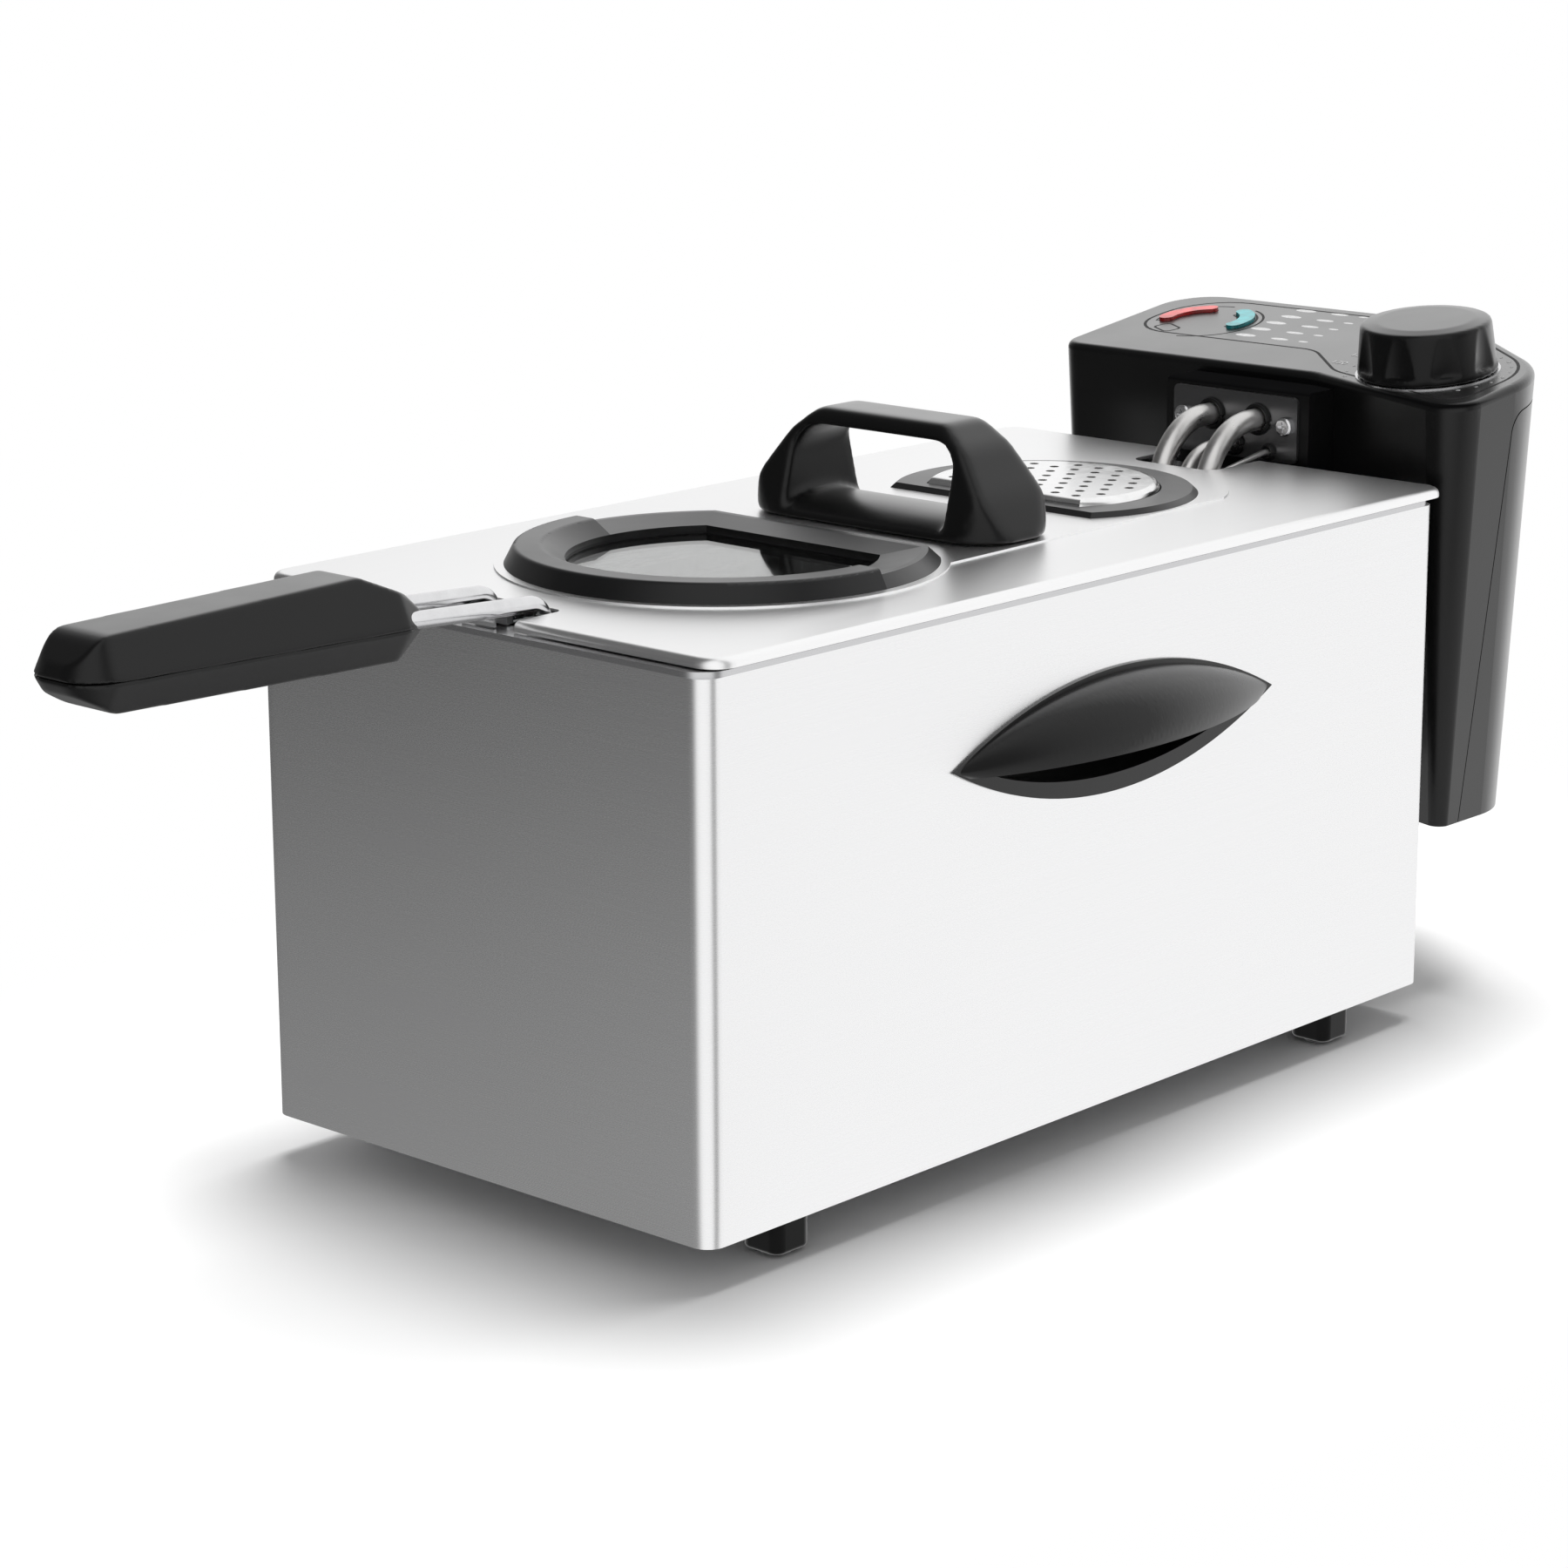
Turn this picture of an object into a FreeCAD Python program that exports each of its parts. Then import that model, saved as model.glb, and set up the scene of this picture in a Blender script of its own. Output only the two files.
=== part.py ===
import FreeCAD, Part
import math
import os
import re
import Sketcher
from FreeCAD import Placement, Rotation, Vector

# Deep fryer: steel housing, lift-out oil tank, basket, lid and a control unit that hangs behind.
# Millimetres and degrees. x points to the right, y to the back, z up from the floor.
# Lengths along y are measured from the middle of the steel housing; every piece is then
# moved by origin_shift so that the whole object is centred.

SIZES = [
    ("origin_shift", 19.17, "moves the whole object so that it is centred front to back"),
    ("body_width", 180, "steel housing, side to side"),
    ("body_length", 342, "steel housing, front to back"),
    ("body_height", 160, "steel housing, height"),
    ("body_corner", 6, "steel housing, radius of the upright corners"),
    ("sheet_wall", 1, "steel housing, sheet thickness"),
    ("lip_width", 6, "steel housing, turned-in lips at top and bottom"),
    ("base_gap", 0.5, "base plate, gap to the housing wall"),
    ("base_thick", 1, "base plate, thickness"),
    ("vent_width", 5, "base plate, width of one vent slot"),
    ("vent_length", 60, "base plate, length of one vent slot"),
    ("vent_span", 180, "base plate, first vent slot to last"),
    ("foot_height", 13, "height of the housing above the floor"),
    ("foot_side", 14.5, "foot, width and depth"),
    ("foot_corner", 3.5, "foot, corner radius"),
    ("foot_x", 78, "foot, distance from the middle, sideways"),
    ("foot_y", 131, "foot, distance from the middle, lengthways"),
    ("pad_proud", 1.2, "rubber pad, how far it stands below the foot"),
    ("pad_recess", 1.8, "rubber pad, depth let into the foot"),
    ("pad_radius", 5, "rubber pad, radius"),
    ("pad_round", 0.5, "rubber pad, rounding of its edge"),
    ("spigot_radius", 3.4, "foot, spigot under the base plate"),
    ("shank_radius", 1.45, "small screw, shank radius"),
    ("hole_radius", 1.5, "small screw, hole radius"),
    ("head_radius", 3.2, "small screw, head radius"),
    ("head_height", 2.0, "small screw, head height"),
    ("side_y", 6.3, "side grip, middle"),
    ("side_z", 128.8, "side grip, height of its ends"),
    ("side_half", 74, "side grip, half length"),
    ("side_rise", 17, "side grip, radius at the middle"),
    ("side_shell", 3.6, "side grip, shell thickness"),
    ("side_tip", 0.6, "side grip, radius of its blunt ends"),
    ("side_spare", 1, "housing cut-out, room round the side grip"),
    ("side_flange", 1.8, "side grip, flange width round the cut-out"),
    ("side_flange_thick", 1, "side grip, flange thickness"),
    ("side_depth", 10.5, "side grip, depth of the finger recess"),
    ("side_back", 1.6, "side grip, thickness of the recess back"),
    ("side_back_half", 40, "side grip, half length of the recess back"),
    ("side_back_rise", 9.4, "side grip, half height of the recess back"),
    ("brow_drop", 2.5, "side grip, lower edge of the brow below the ends"),
    ("rim_thick", 1.7, "oil tank, rim band height"),
    ("rim_corner", 9, "oil tank, rim corner radius"),
    ("tank_wall", 1, "oil tank, wall"),
    ("mouth_width", 154, "oil tank, outside width at the mouth"),
    ("mouth_length", 324, "oil tank, outside length at the mouth"),
    ("mouth_corner", 19, "oil tank, outside corner radius"),
    ("step_width", 150, "oil tank, outside width where the cold zone starts"),
    ("step_length", 320, "oil tank, outside length where the cold zone starts"),
    ("step_z", 60, "oil tank, height where the cold zone starts"),
    ("well_width", 116, "oil tank, outside width at the bottom"),
    ("well_length", 268, "oil tank, outside length at the bottom"),
    ("well_z", 46, "oil tank, height of the bottom"),
    ("well_corner", 24, "oil tank, outside corner radius at the bottom"),
    ("guide_half", 30.3, "guide channel, half the clear width"),
    ("guide_sheet", 1, "guide channel, sheet thickness"),
    ("guide_depth", 12, "guide channel, depth of its sides"),
    ("guide_low", 70, "guide channel, lower end"),
    ("guide_high", 164, "guide channel, upper end"),
    ("shelf_thick", 1.2, "guide channel, shelf that carries the control unit"),
    ("rivet_x", 20, "guide rivets, distance from the middle"),
    ("rivet_low", 88, "guide rivets, lower row"),
    ("rivet_high", 146, "guide rivets, upper row"),
    ("rivet_head", 0.9, "guide rivets, head height"),
    ("lid_width", 182, "lid, width"),
    ("lid_front", 167.5, "lid, front edge ahead of the middle"),
    ("lid_back", 176, "lid, back edge behind the middle"),
    ("lid_corner", 8, "lid, corner radius in plan"),
    ("lid_low", 175.1, "lid, lower edge of the turned-down rim"),
    ("lid_top", 178, "lid, top face"),
    ("lid_sheet", 0.9, "lid, sheet thickness"),
    ("lid_edge", 2.2, "lid, rounding of the upper edge"),
    ("field_rise", 0.5, "lid, height of the raised field"),
    ("field_front", 67.3, "lid, radius of the raised field round the window"),
    ("field_side", 53, "lid, half width of the raised field"),
    ("field_rear", 49.8, "lid, half width of the raised field beside the filter"),
    ("field_back", 54, "lid, radius of the raised field behind the filter"),
    ("field_y", 90, "lid, centre of the rear arc of the raised field"),
    ("bead_width", 172, "lid, outside width of the bead that rests on the tank rim"),
    ("bead_sheet", 2.5, "lid, width of that bead"),
    ("notch_half", 17, "lid, half width of the notch for the element tubes"),
    ("notch_y", 148, "lid, front edge of that notch"),
    ("notch_round", 5, "lid, corners of that notch"),
    ("slot_half", 4, "lid, half width of a slot for a handle wire"),
    ("slot_y", 148.2, "lid, rear end of the wire slots ahead of the middle"),
    ("slot_round", 3, "lid, corners of the wire slots"),
    ("window_y", 68.2, "window, centre ahead of the middle"),
    ("window_radius", 64.4, "window frame, outer radius at the lid"),
    ("window_flat", 45.5, "window frame, straight side at the lid"),
    ("ridge_radius", 60.6, "window frame, ridge radius"),
    ("ridge_flat", 42.6, "window frame, ridge at the straight side"),
    ("ridge_rise", 3.5, "window frame, ridge height"),
    ("slope_radius", 58.6, "window frame, top of the inward slope"),
    ("slope_flat", 40.6, "window frame, top of the inward slope at the straight side"),
    ("view_radius", 46.4, "window, opening radius"),
    ("view_flat", 30.3, "window, opening at the straight side"),
    ("view_rise", 1.6, "window frame, height of the inner edge"),
    ("crescent_rise", 5.7, "window frame, height of the front crescent"),
    ("crescent_out", 3, "window frame, lean of the crescent outside"),
    ("crescent_in", 11, "window frame, inner edge of the level crescent"),
    ("crescent_round", 1.5, "window frame, rounding of the crescent"),
    ("collar_radius", 57, "window frame, collar that sits in the lid"),
    ("collar_flat", 38.6, "window frame, collar at the straight side"),
    ("collar_drop", 5.4, "window frame, collar depth"),
    ("glass_radius", 50, "window glass, radius"),
    ("glass_flat", 33.6, "window glass, straight side"),
    ("glass_thick", 3, "window glass, thickness"),
    ("gasket_thick", 0.8, "window gasket, thickness"),
    ("retainer_thick", 1.4, "window retainer, thickness"),
    ("retainer_lap", 3, "window retainer, how far it covers the collar"),
    ("fit_gap", 0.4, "clearance round parts that are pushed in"),
    ("filter_y", 81.5, "filter, centre behind the middle"),
    ("filter_radius", 49.3, "filter ring, outer radius"),
    ("filter_flat", 27.5, "filter ring, straight side"),
    ("filter_rise", 1.6, "filter ring, height"),
    ("filter_slope", 1.8, "filter ring, slope of its edges"),
    ("grille_radius", 37.2, "filter grille, radius"),
    ("grille_flat", 20.5, "filter grille, straight side"),
    ("grille_rise", 3.6, "filter grille, crown height above the lid"),
    ("grille_round", 2.6, "filter grille, rounding of the crown"),
    ("grille_sheet", 0.9, "filter grille, sheet thickness"),
    ("grille_hole", 1.5, "filter grille, hole radius"),
    ("grille_pitch", 8.4, "filter grille, distance between holes in a row"),
    ("grille_row", 7.2, "filter grille, distance between rows"),
    ("socket_radius", 42.4, "filter ring, collar that sits in the lid"),
    ("socket_flat", 24.6, "filter ring, collar at the straight side"),
    ("socket_drop", 7, "filter ring, collar depth"),
    ("filter_pad_thick", 5, "filter pad, thickness"),
    ("tray_thick", 1.4, "filter tray, thickness"),
    ("tray_slot_half", 3, "filter tray, half width of a slot"),
    ("tray_slot_front", 12, "filter tray, front end of the slots"),
    ("tray_slot_back", 22, "filter tray, back end of the slots"),
    ("tray_slot_pitch", 13, "filter tray, distance between slots"),
    ("tray_slot_round", 2.5, "filter tray, slot corners"),
    ("arch_y", 11.4, "lid handle, middle"),
    ("arch_half", 51, "lid handle, half length at the foot"),
    ("arch_knee", 45, "lid handle, half length at the knee"),
    ("arch_knee_z", 13, "lid handle, height of the knee"),
    ("arch_shoulder", 34.5, "lid handle, half length at the shoulder"),
    ("arch_shoulder_z", 27.5, "lid handle, height of the shoulder"),
    ("arch_top", 25.5, "lid handle, half length of the level top"),
    ("arch_rise", 34.5, "lid handle, height"),
    ("arch_sweep", 45, "lid handle, curve of its ends"),
    ("arch_crest", 6, "lid handle, curve at the ends of the level top"),
    ("arch_gap_half", 32, "lid handle, half length of the finger gap"),
    ("arch_gap_low", 7, "lid handle, bottom of the finger gap at the middle"),
    ("arch_gap_edge", 2, "lid handle, bottom of the finger gap at the edges"),
    ("arch_gap_high", 29, "lid handle, top of the finger gap"),
    ("arch_gap_round", 9, "lid handle, upper corners of the finger gap"),
    ("arch_depth", 38, "lid handle, depth at the foot"),
    ("arch_waist", 25, "lid handle, depth at the shoulder"),
    ("arch_crown", 19, "lid handle, depth at the top"),
    ("arch_plan", 16, "lid handle, corners in plan"),
    ("arch_screw_x", 41, "lid handle, screw distance from the middle"),
    ("arch_socket", 10, "lid handle, depth of the screw holes"),
    ("basket_half", 66, "basket, half width at the rim"),
    ("basket_front", 146.5, "basket, front at the rim"),
    ("basket_back", 128, "basket, back at the rim"),
    ("basket_corner", 17, "basket, corner radius"),
    ("basket_draft", 5, "basket, how far the walls lean in"),
    ("basket_wall", 1.6, "basket, thickness of wall and floor"),
    ("basket_low", 84, "basket, lower edge of the wall"),
    ("basket_high", 161, "basket, upper edge of the wall"),
    ("mesh_pitch", 15.2, "basket, distance between openings"),
    ("mesh_gap", 11.5, "basket, width of an opening"),
    ("mesh_tall", 30, "basket, height of an opening"),
    ("mesh_rows", 36, "basket, distance between rows of openings"),
    ("mesh_foot", 5, "basket, closed band below the openings"),
    ("rim_wire", 2, "basket, radius of the rim wire"),
    ("wire_radius", 2.5, "basket handle wire, radius"),
    ("wire_x", 10.4, "basket handle wires, distance from the middle"),
    ("wire_leg_y", 152, "basket handle wires, upright legs ahead of the middle"),
    ("wire_low", 143, "basket handle wires, lower ends"),
    ("wire_z", 180.3, "basket handle wires, height above the upright legs"),
    ("wire_bend", 6, "basket handle wires, bend radius"),
    ("wire_tilt", 3.2, "basket handle wires, rise towards the grip"),
    ("wire_end_y", 225, "basket handle wires, end of the loop inside the grip"),
    ("wire_end_bend", 8, "basket handle wires, bend radius of the loop's end"),
    ("sleeve_radius", 3.6, "basket bracket, sleeve radius"),
    ("bracket_half", 17, "basket bracket, half width"),
    ("bracket_gap", 0.4, "basket bracket, gap to the basket wall"),
    ("bracket_thick", 1.8, "basket bracket, plate thickness"),
    ("bracket_floor", 2, "basket bracket, closed bottom of the sleeves"),
    ("sleeve_play", 0.1, "basket bracket, play round the wires"),
    ("grip_y", 199, "basket grip, inner end ahead of the middle"),
    ("grip_z", 181.4, "basket grip, parting line at the inner end"),
    ("grip_tilt", 1.5, "basket grip, rise towards its free end"),
    ("grip_length", 117, "basket grip, length"),
    ("grip_half", 14.5, "basket grip, half width at the parting line"),
    ("grip_near", 8, "basket grip, corners at the inner end"),
    ("grip_far", 11, "basket grip, corners at the free end"),
    ("grip_lean", 21.5, "basket grip, lean of the upper half"),
    ("grip_under_lean", 29, "basket grip, lean of the lower half"),
    ("grip_block", 18, "basket grip, height from which the upper half is cut"),
    ("grip_under_block", 12, "basket grip, height from which the lower half is cut"),
    ("grip_front_rise", 7.4, "basket grip, height of the upper half at its inner end"),
    ("grip_front_fall", 0.4, "basket grip, slope of the top at its inner end"),
    ("grip_hump", 20, "basket grip, where the upper half is highest"),
    ("grip_hump_rise", 15.4, "basket grip, greatest height of the upper half"),
    ("grip_hump_round", 4, "basket grip, rounding there"),
    ("grip_tail", 108, "basket grip, where the top turns down to the free end"),
    ("grip_tail_rise", 11.5, "basket grip, height there"),
    ("grip_tail_round", 9, "basket grip, rounding there"),
    ("grip_tail_drop", 10, "basket grip, fall of the top at the free end"),
    ("grip_under", 9.4, "basket grip, depth of the lower half"),
    ("grip_under_tail", 104, "basket grip, where the underside turns up to the free end"),
    ("grip_toe", 16, "basket grip, length of the turned-up underside"),
    ("grip_side", 8.3, "basket grip, side wall"),
    ("grip_skin", 2.8, "basket grip, wall above and below its hollow"),
    ("grip_end", 17, "basket grip, wall at the ends of its hollow"),
    ("grip_nest", 31, "basket grip, reach of the bed for the wires"),
    ("grip_web", 3, "basket grip, web behind that bed"),
    ("grip_inner_round", 4, "basket grip, corners of its hollow"),
    ("grip_bed_round", 6, "basket grip, corners of the bed"),
    ("grip_bed_room", 1.5, "basket grip, room above the wires"),
    ("wire_play", 0.3, "basket grip, play round the wires"),
    ("box_half", 91, "control unit, half width"),
    ("box_front", 200, "control unit, front of the left part"),
    ("box_kink", 19, "control unit, where the front starts to come forward"),
    ("box_nose", 178.2, "control unit, front corner on the right"),
    ("box_bend", 234, "control unit, start of the rounded right back"),
    ("box_back", 277.5, "control unit, back"),
    ("box_heel", 28, "control unit, end of the slanted back"),
    ("box_left_round", 9, "control unit, left front corner"),
    ("box_kink_round", 22, "control unit, rounding of the kink"),
    ("box_nose_round", 12, "control unit, front corner on the right"),
    ("box_bend_round", 38, "control unit, rounding of the right back"),
    ("box_heel_round", 55, "control unit, rounding of the slanted back"),
    ("box_back_round", 20, "control unit, left back corner"),
    ("box_lean", 2.9, "control unit, lean of the walls"),
    ("box_draft", 8, "control unit, how far the walls lean in down to the bottom"),
    ("box_low", 60, "control unit, bottom"),
    ("box_high", 218, "control unit, level from which the outline is measured"),
    ("box_wall", 2.6, "control unit, wall"),
    ("panel_z", 204.4, "panel, height at the left front edge"),
    ("panel_tilt", 7.4, "panel, fall towards the front"),
    ("panel_round", 2.5, "panel, rounding of the edge all round"),
    ("seam_low_y", 199, "rear cover, seam at the bottom"),
    ("seam_high_y", 214, "rear cover, seam at the top"),
    ("seam_skew", 0.14, "rear cover, how fast the seam runs back towards the left"),
    ("seam_drop", 9.5, "rear cover, upper edge below the panel"),
    ("seam_gap", 0.4, "rear cover, width of the seam"),
    ("seam_round", 8, "rear cover, upper front corner"),
    ("insert_thick", 1.2, "panel insert, thickness"),
    ("insert_gap", 0.25, "panel insert, gap all round"),
    ("insert_left", 80, "panel insert, left end"),
    ("insert_right", 84, "panel insert, right end"),
    ("insert_front", 26, "panel insert, front of the left part"),
    ("insert_back", 71, "panel insert, back"),
    ("insert_step_x", 2, "panel insert, where the front starts to come forward"),
    ("insert_nose_x", 24, "panel insert, bend ahead of the knob"),
    ("insert_nose_v", 6, "panel insert, front at that bend"),
    ("insert_tip_v", -12, "panel insert, front corner on the right"),
    ("insert_bend_v", 33, "panel insert, start of the rounded right back"),
    ("insert_heel_x", 30, "panel insert, end of the slanted back"),
    ("insert_left_round", 17, "panel insert, left front corner"),
    ("insert_step_round", 14, "panel insert, rounding where the front comes forward"),
    ("insert_nose_round", 18, "panel insert, rounding ahead of the knob"),
    ("insert_tip_round", 8, "panel insert, front corner on the right"),
    ("insert_bend_round", 34, "panel insert, rounding of the right back"),
    ("insert_heel_round", 50, "panel insert, rounding of the slanted back"),
    ("insert_back_round", 22, "panel insert, left back corner"),
    ("dial_x", 54, "knob, centre to the right"),
    ("dial_v", 17, "knob, centre behind the panel's front edge"),
    ("dial_radius", 23.2, "knob, radius"),
    ("dial_rise", 18.2, "knob, height"),
    ("dial_lift", 0.5, "knob, gap to the panel"),
    ("dial_skirt", 2, "knob, height of the straight skirt"),
    ("dial_taper", 1.6, "knob, lean of its side"),
    ("dial_crown", 0.8, "knob, fall of the top towards its edge"),
    ("dial_edge", 1.6, "knob, rounding of the upper edge"),
    ("dial_bevel", 7, "knob, width of the falling edge"),
    ("dial_roof", 4, "knob, thickness above the spindle"),
    ("flute_radius", 16, "knob, radius of a finger flute"),
    ("flute_reach", 37.5, "knob, distance of a flute from the middle"),
    ("dial_ring", 24, "knob ring, outer radius"),
    ("dial_ring_width", 3.5, "knob ring, width"),
    ("dial_ring_thick", 0.4, "knob ring, thickness"),
    ("spindle_radius", 3, "thermostat spindle, radius"),
    ("spindle_gap", 0.05, "thermostat spindle, play in the knob"),
    ("spindle_room", 1, "thermostat spindle, room in the panel"),
    ("lamp_x", -58.5, "lamps, centre of their circle"),
    ("lamp_v", 44, "lamps, centre of their circle behind the panel's front edge"),
    ("lamp_radius", 15, "lamps, radius of their circle"),
    ("lamp_half", 2.7, "lamps, half width"),
    ("lamp_turn", 25, "lamps, angle of their middle"),
    ("lamp_sweep", 36, "lamps, half angle"),
    ("lamp_rise", 1.2, "lamps, height above the panel"),
    ("lamp_gap", 0.15, "lamps, gap in the insert"),
    ("neck_half", 29.5, "control unit neck, half width"),
    ("neck_low", 71.4, "control unit neck, lower end"),
    ("neck_front", 174, "control unit neck, front below the lid"),
    ("neck_step", 168, "control unit neck, top of the lower part"),
    ("neck_y", 184.3, "control unit neck, front behind the element plate"),
    ("neck_high", 200.5, "control unit neck, top"),
    ("neck_wall", 2.6, "control unit neck, wall"),
    ("neck_round", 2, "control unit neck, corners"),
    ("neck_overlap", 14, "control unit neck, reach into the box"),
    ("eplate_half", 25.6, "element plate, half width"),
    ("eplate_low", 176.4, "element plate, lower edge"),
    ("eplate_high", 198.6, "element plate, upper edge"),
    ("eplate_thick", 1.2, "element plate, thickness"),
    ("eplate_round", 2, "element plate, corners"),
    ("eplate_play", 0.05, "element plate, play round the tubes"),
    ("eplate_screw_x", 21, "element plate, screws"),
    ("eplate_screw_z", 188.7, "element plate, screw height"),
    ("tube_x", 9.5, "element tubes, distance from the middle"),
    ("tube_z", 190, "element tubes, height at the plate"),
    ("tube_radius", 3.7, "element tubes, radius"),
    ("tube_drop_y", 154, "element tubes, upright part"),
    ("tube_bend", 24, "element tubes, upper bend radius"),
    ("tube_tail", 12, "element tubes, length behind the plate"),
    ("coil_z", 64, "heating loop, height"),
    ("coil_half", 42, "heating loop, half width"),
    ("coil_front", 120, "heating loop, front"),
    ("coil_back", 96, "heating loop, start of the straight sides"),
    ("coil_bend", 12, "heating loop, lower bend radius"),
    ("coil_spread", 30, "heating loop, start of the spread behind the upright part"),
    ("coil_ease", 14, "heating loop, bends of the spread"),
    ("coil_end_bend", 41.5, "heating loop, bend at the front"),
    ("sensor_radius", 2.5, "sensor tube, radius"),
    ("sensor_z", 181, "sensor tube, height at the plate"),
    ("sensor_low", 75, "sensor tube, height of the bulb"),
    ("sensor_end", 60, "sensor tube, end of the bulb"),
    ("sensor_bend", 16, "sensor tube, upper bend radius"),
    ("capillary_radius", 1.2, "safety capillary, radius"),
    ("capillary_x", 14.4, "safety capillary, distance from the middle"),
    ("capillary_z", 179.5, "safety capillary, height at the plate"),
    ("capillary_run", 25, "safety capillary, length of its slope"),
    ("capillary_dip", 4, "safety capillary, fall of that slope"),
    ("capillary_bend", 7, "safety capillary, bend radius"),
    ("capillary_low", 96, "safety capillary, lower end"),
    ("reset_x", -48, "reset button, position"),
    ("reset_z", 120, "reset button, height"),
    ("reset_radius", 4, "reset button, radius"),
    ("reset_gap", 0.3, "reset button, gap in the cover"),
    ("reset_out", 3, "reset button, how far it stands out"),
    ("reset_length", 9, "reset button, length inside"),
    ("reset_seat", 3.2, "reset button, collar below the cover face"),
    ("reset_collar", 1.6, "reset button, collar width"),
    ("reset_collar_thick", 1.8, "reset button, collar thickness"),
    ("reset_pin", 2.5, "reset button, radius of its inner end"),
    ("reset_round", 1.2, "reset button, rounding of its face"),
    ("gland_x", -60, "cord gland, position"),
    ("gland_z", 84, "cord gland, height"),
    ("gland_radius", 6.5, "cord gland, radius in the wall"),
    ("cord_radius", 3.6, "cord gland, opening"),
    ("gland_play", 0.1, "cord gland, play in the cover"),
    ("gland_lip", 2.4, "cord gland, wall of the nose"),
    ("gland_round", 1, "cord gland, rounding of the nose"),
    ("gland_out", 6, "cord gland, how far the nose stands out"),
    ("gland_gap", 0.6, "cord gland, gap between nose and cover"),
    ("gland_wall", 3.4, "cord gland, depth of its groove"),
    ("gland_barb", 1.6, "cord gland, barb behind the cover"),
    ("cover_shank", 9, "cover screws, shank length"),
    ("cover_gap", 0.15, "cover screws, gap under the heads"),
    ("stat_half", 16, "thermostat, half width"),
    ("stat_deep", 13, "thermostat, half depth"),
    ("stat_round", 3, "thermostat, corners"),
    ("stat_drop", 12, "thermostat, top below the panel"),
    ("stat_tall", 20, "thermostat, height"),
    ("bulb_radius", 2.4, "lamp bulbs, radius"),
    ("bulb_tall", 6, "lamp bulbs, length below the tip"),
    ("bulb_drop", 13, "lamp bulbs, foot below the panel"),
    ("cutout_back", 38, "safety cut-out, distance from the back"),
    ("cutout_length", 22, "safety cut-out, length"),
    ("cutout_radius", 10, "safety cut-out, radius"),
    ("cutout_neck", 6, "safety cut-out, radius of its neck"),
    ("cutout_step", 4, "safety cut-out, length of its neck"),
    ("ear_half", 17, "safety cut-out, half width over the ears"),
    ("ear_rise", 4, "safety cut-out, half height of the ears"),
    ("ear_round", 3, "safety cut-out, corners of the ears"),
    ("ear_thick", 2, "safety cut-out, thickness of the ears"),
    ("switch_z", 130, "interlock switch, height"),
    ("switch_half", 14, "interlock switch, half width"),
    ("switch_deep", 10, "interlock switch, depth"),
    ("switch_tall", 16, "interlock switch, height of its case"),
    ("switch_round", 1, "interlock switch, corners"),
    ("lever_thick", 1, "interlock switch, room for its button"),
    ("lever_gap", 0.2, "interlock switch, gap ahead of its button"),
    ("lever_half", 2, "interlock switch, half width of its button"),
    ("terminal_x", -8, "terminal block, position"),
    ("terminal_back", 44, "terminal block, distance from the back"),
    ("terminal_gap", 0.2, "terminal block, gap to the floor"),
    ("terminal_half", 22, "terminal block, half width"),
    ("terminal_deep", 9, "terminal block, half depth"),
    ("terminal_tall", 14, "terminal block, height"),
    ("terminal_round", 1, "terminal block, corners"),
    ("port_radius", 2.5, "terminal block, port radius"),
    ("port_pitch", 15, "terminal block, distance between ports"),
    ("port_depth", 9, "terminal block, port depth"),
]

doc = FreeCAD.newDocument("deep_fryer")
sheet = doc.addObject("Spreadsheet::Sheet", "sizes")
for row, (alias, number, note) in enumerate(SIZES, 1):
    sheet.set(f"A{row}", note)
    sheet.set(f"B{row}", str(number))
    sheet.setAlias(f"B{row}", alias)
doc.recompute()

ALIASES = {entry[0] for entry in SIZES}
NODES = []
UP = Vector(0, 0, 1)
ALONG_X = Vector(1, 0, 0)
SIDES = {True: "Symmetric", False: "One side"}

# Small screws: rounding and depth of the cross as shares of the head's height, its arms of the radius.
HEAD_ROUND, CROSS_DEPTH, CROSS_LENGTH, CROSS_WIDTH = 0.55, 0.5, 1.1, 0.26

# Counts of like openings: vents in the base plate, slots in the filter tray, mesh of the basket.
VENTS, TRAY_SLOTS = 10, 4
WALL_ACROSS, WALL_ALONG, FLOOR_ACROSS, FLOOR_ALONG = 6, 15, 7, 16


def mm(expression):
    """Number that an expression in the sheet's aliases gives."""
    return float(sheet.evalExpression(expression))


def bind(obj, prop, expression):
    """Tie a property to an expression in the sheet's aliases."""
    def full_name(word):
        return f"sizes.{word[0]}" if word[0] in ALIASES else word[0]

    obj.setExpression(prop, re.sub(r"[a-z_]+", full_name, expression))


def place(obj, x="0", y="0", z="0", tilt=0):
    """Put a piece at x, y, z, tilted about the x direction; y counts from the housing's middle."""
    obj.Placement = Placement(Vector(mm(x), mm(f"origin_shift + ({y})"), mm(z)), Rotation(ALONG_X, tilt))
    bind(obj, "Placement.Base.x", x)
    bind(obj, "Placement.Base.y", f"origin_shift + ({y})")
    bind(obj, "Placement.Base.z", z)
    return obj


def body(label, x="0", y="0", z="0", tilt=0, keep=True):
    """New empty body; kept ones become pieces of the object."""
    fresh = place(doc.addObject("PartDesign::Body", label), x, y, z, tilt)
    if keep:
        NODES.append(fresh)
    return fresh


def sketch(owner, role="XY_Plane", lift="0"):
    """Sketch on one of the body's own origin planes, moved along the plane's normal."""
    fresh = owner.newObject("Sketcher::SketchObject", f"{owner.Name}_sketch")
    plane = next(item for item in owner.Origin.OriginFeatures if item.Role == role)
    fresh.AttachmentSupport = [(plane, "")]
    fresh.MapMode = "FlatFace"
    bind(fresh, "AttachmentOffset.Base.z", lift)
    return fresh


def flat(point):
    return Vector(point[0], point[1], 0)


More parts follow.
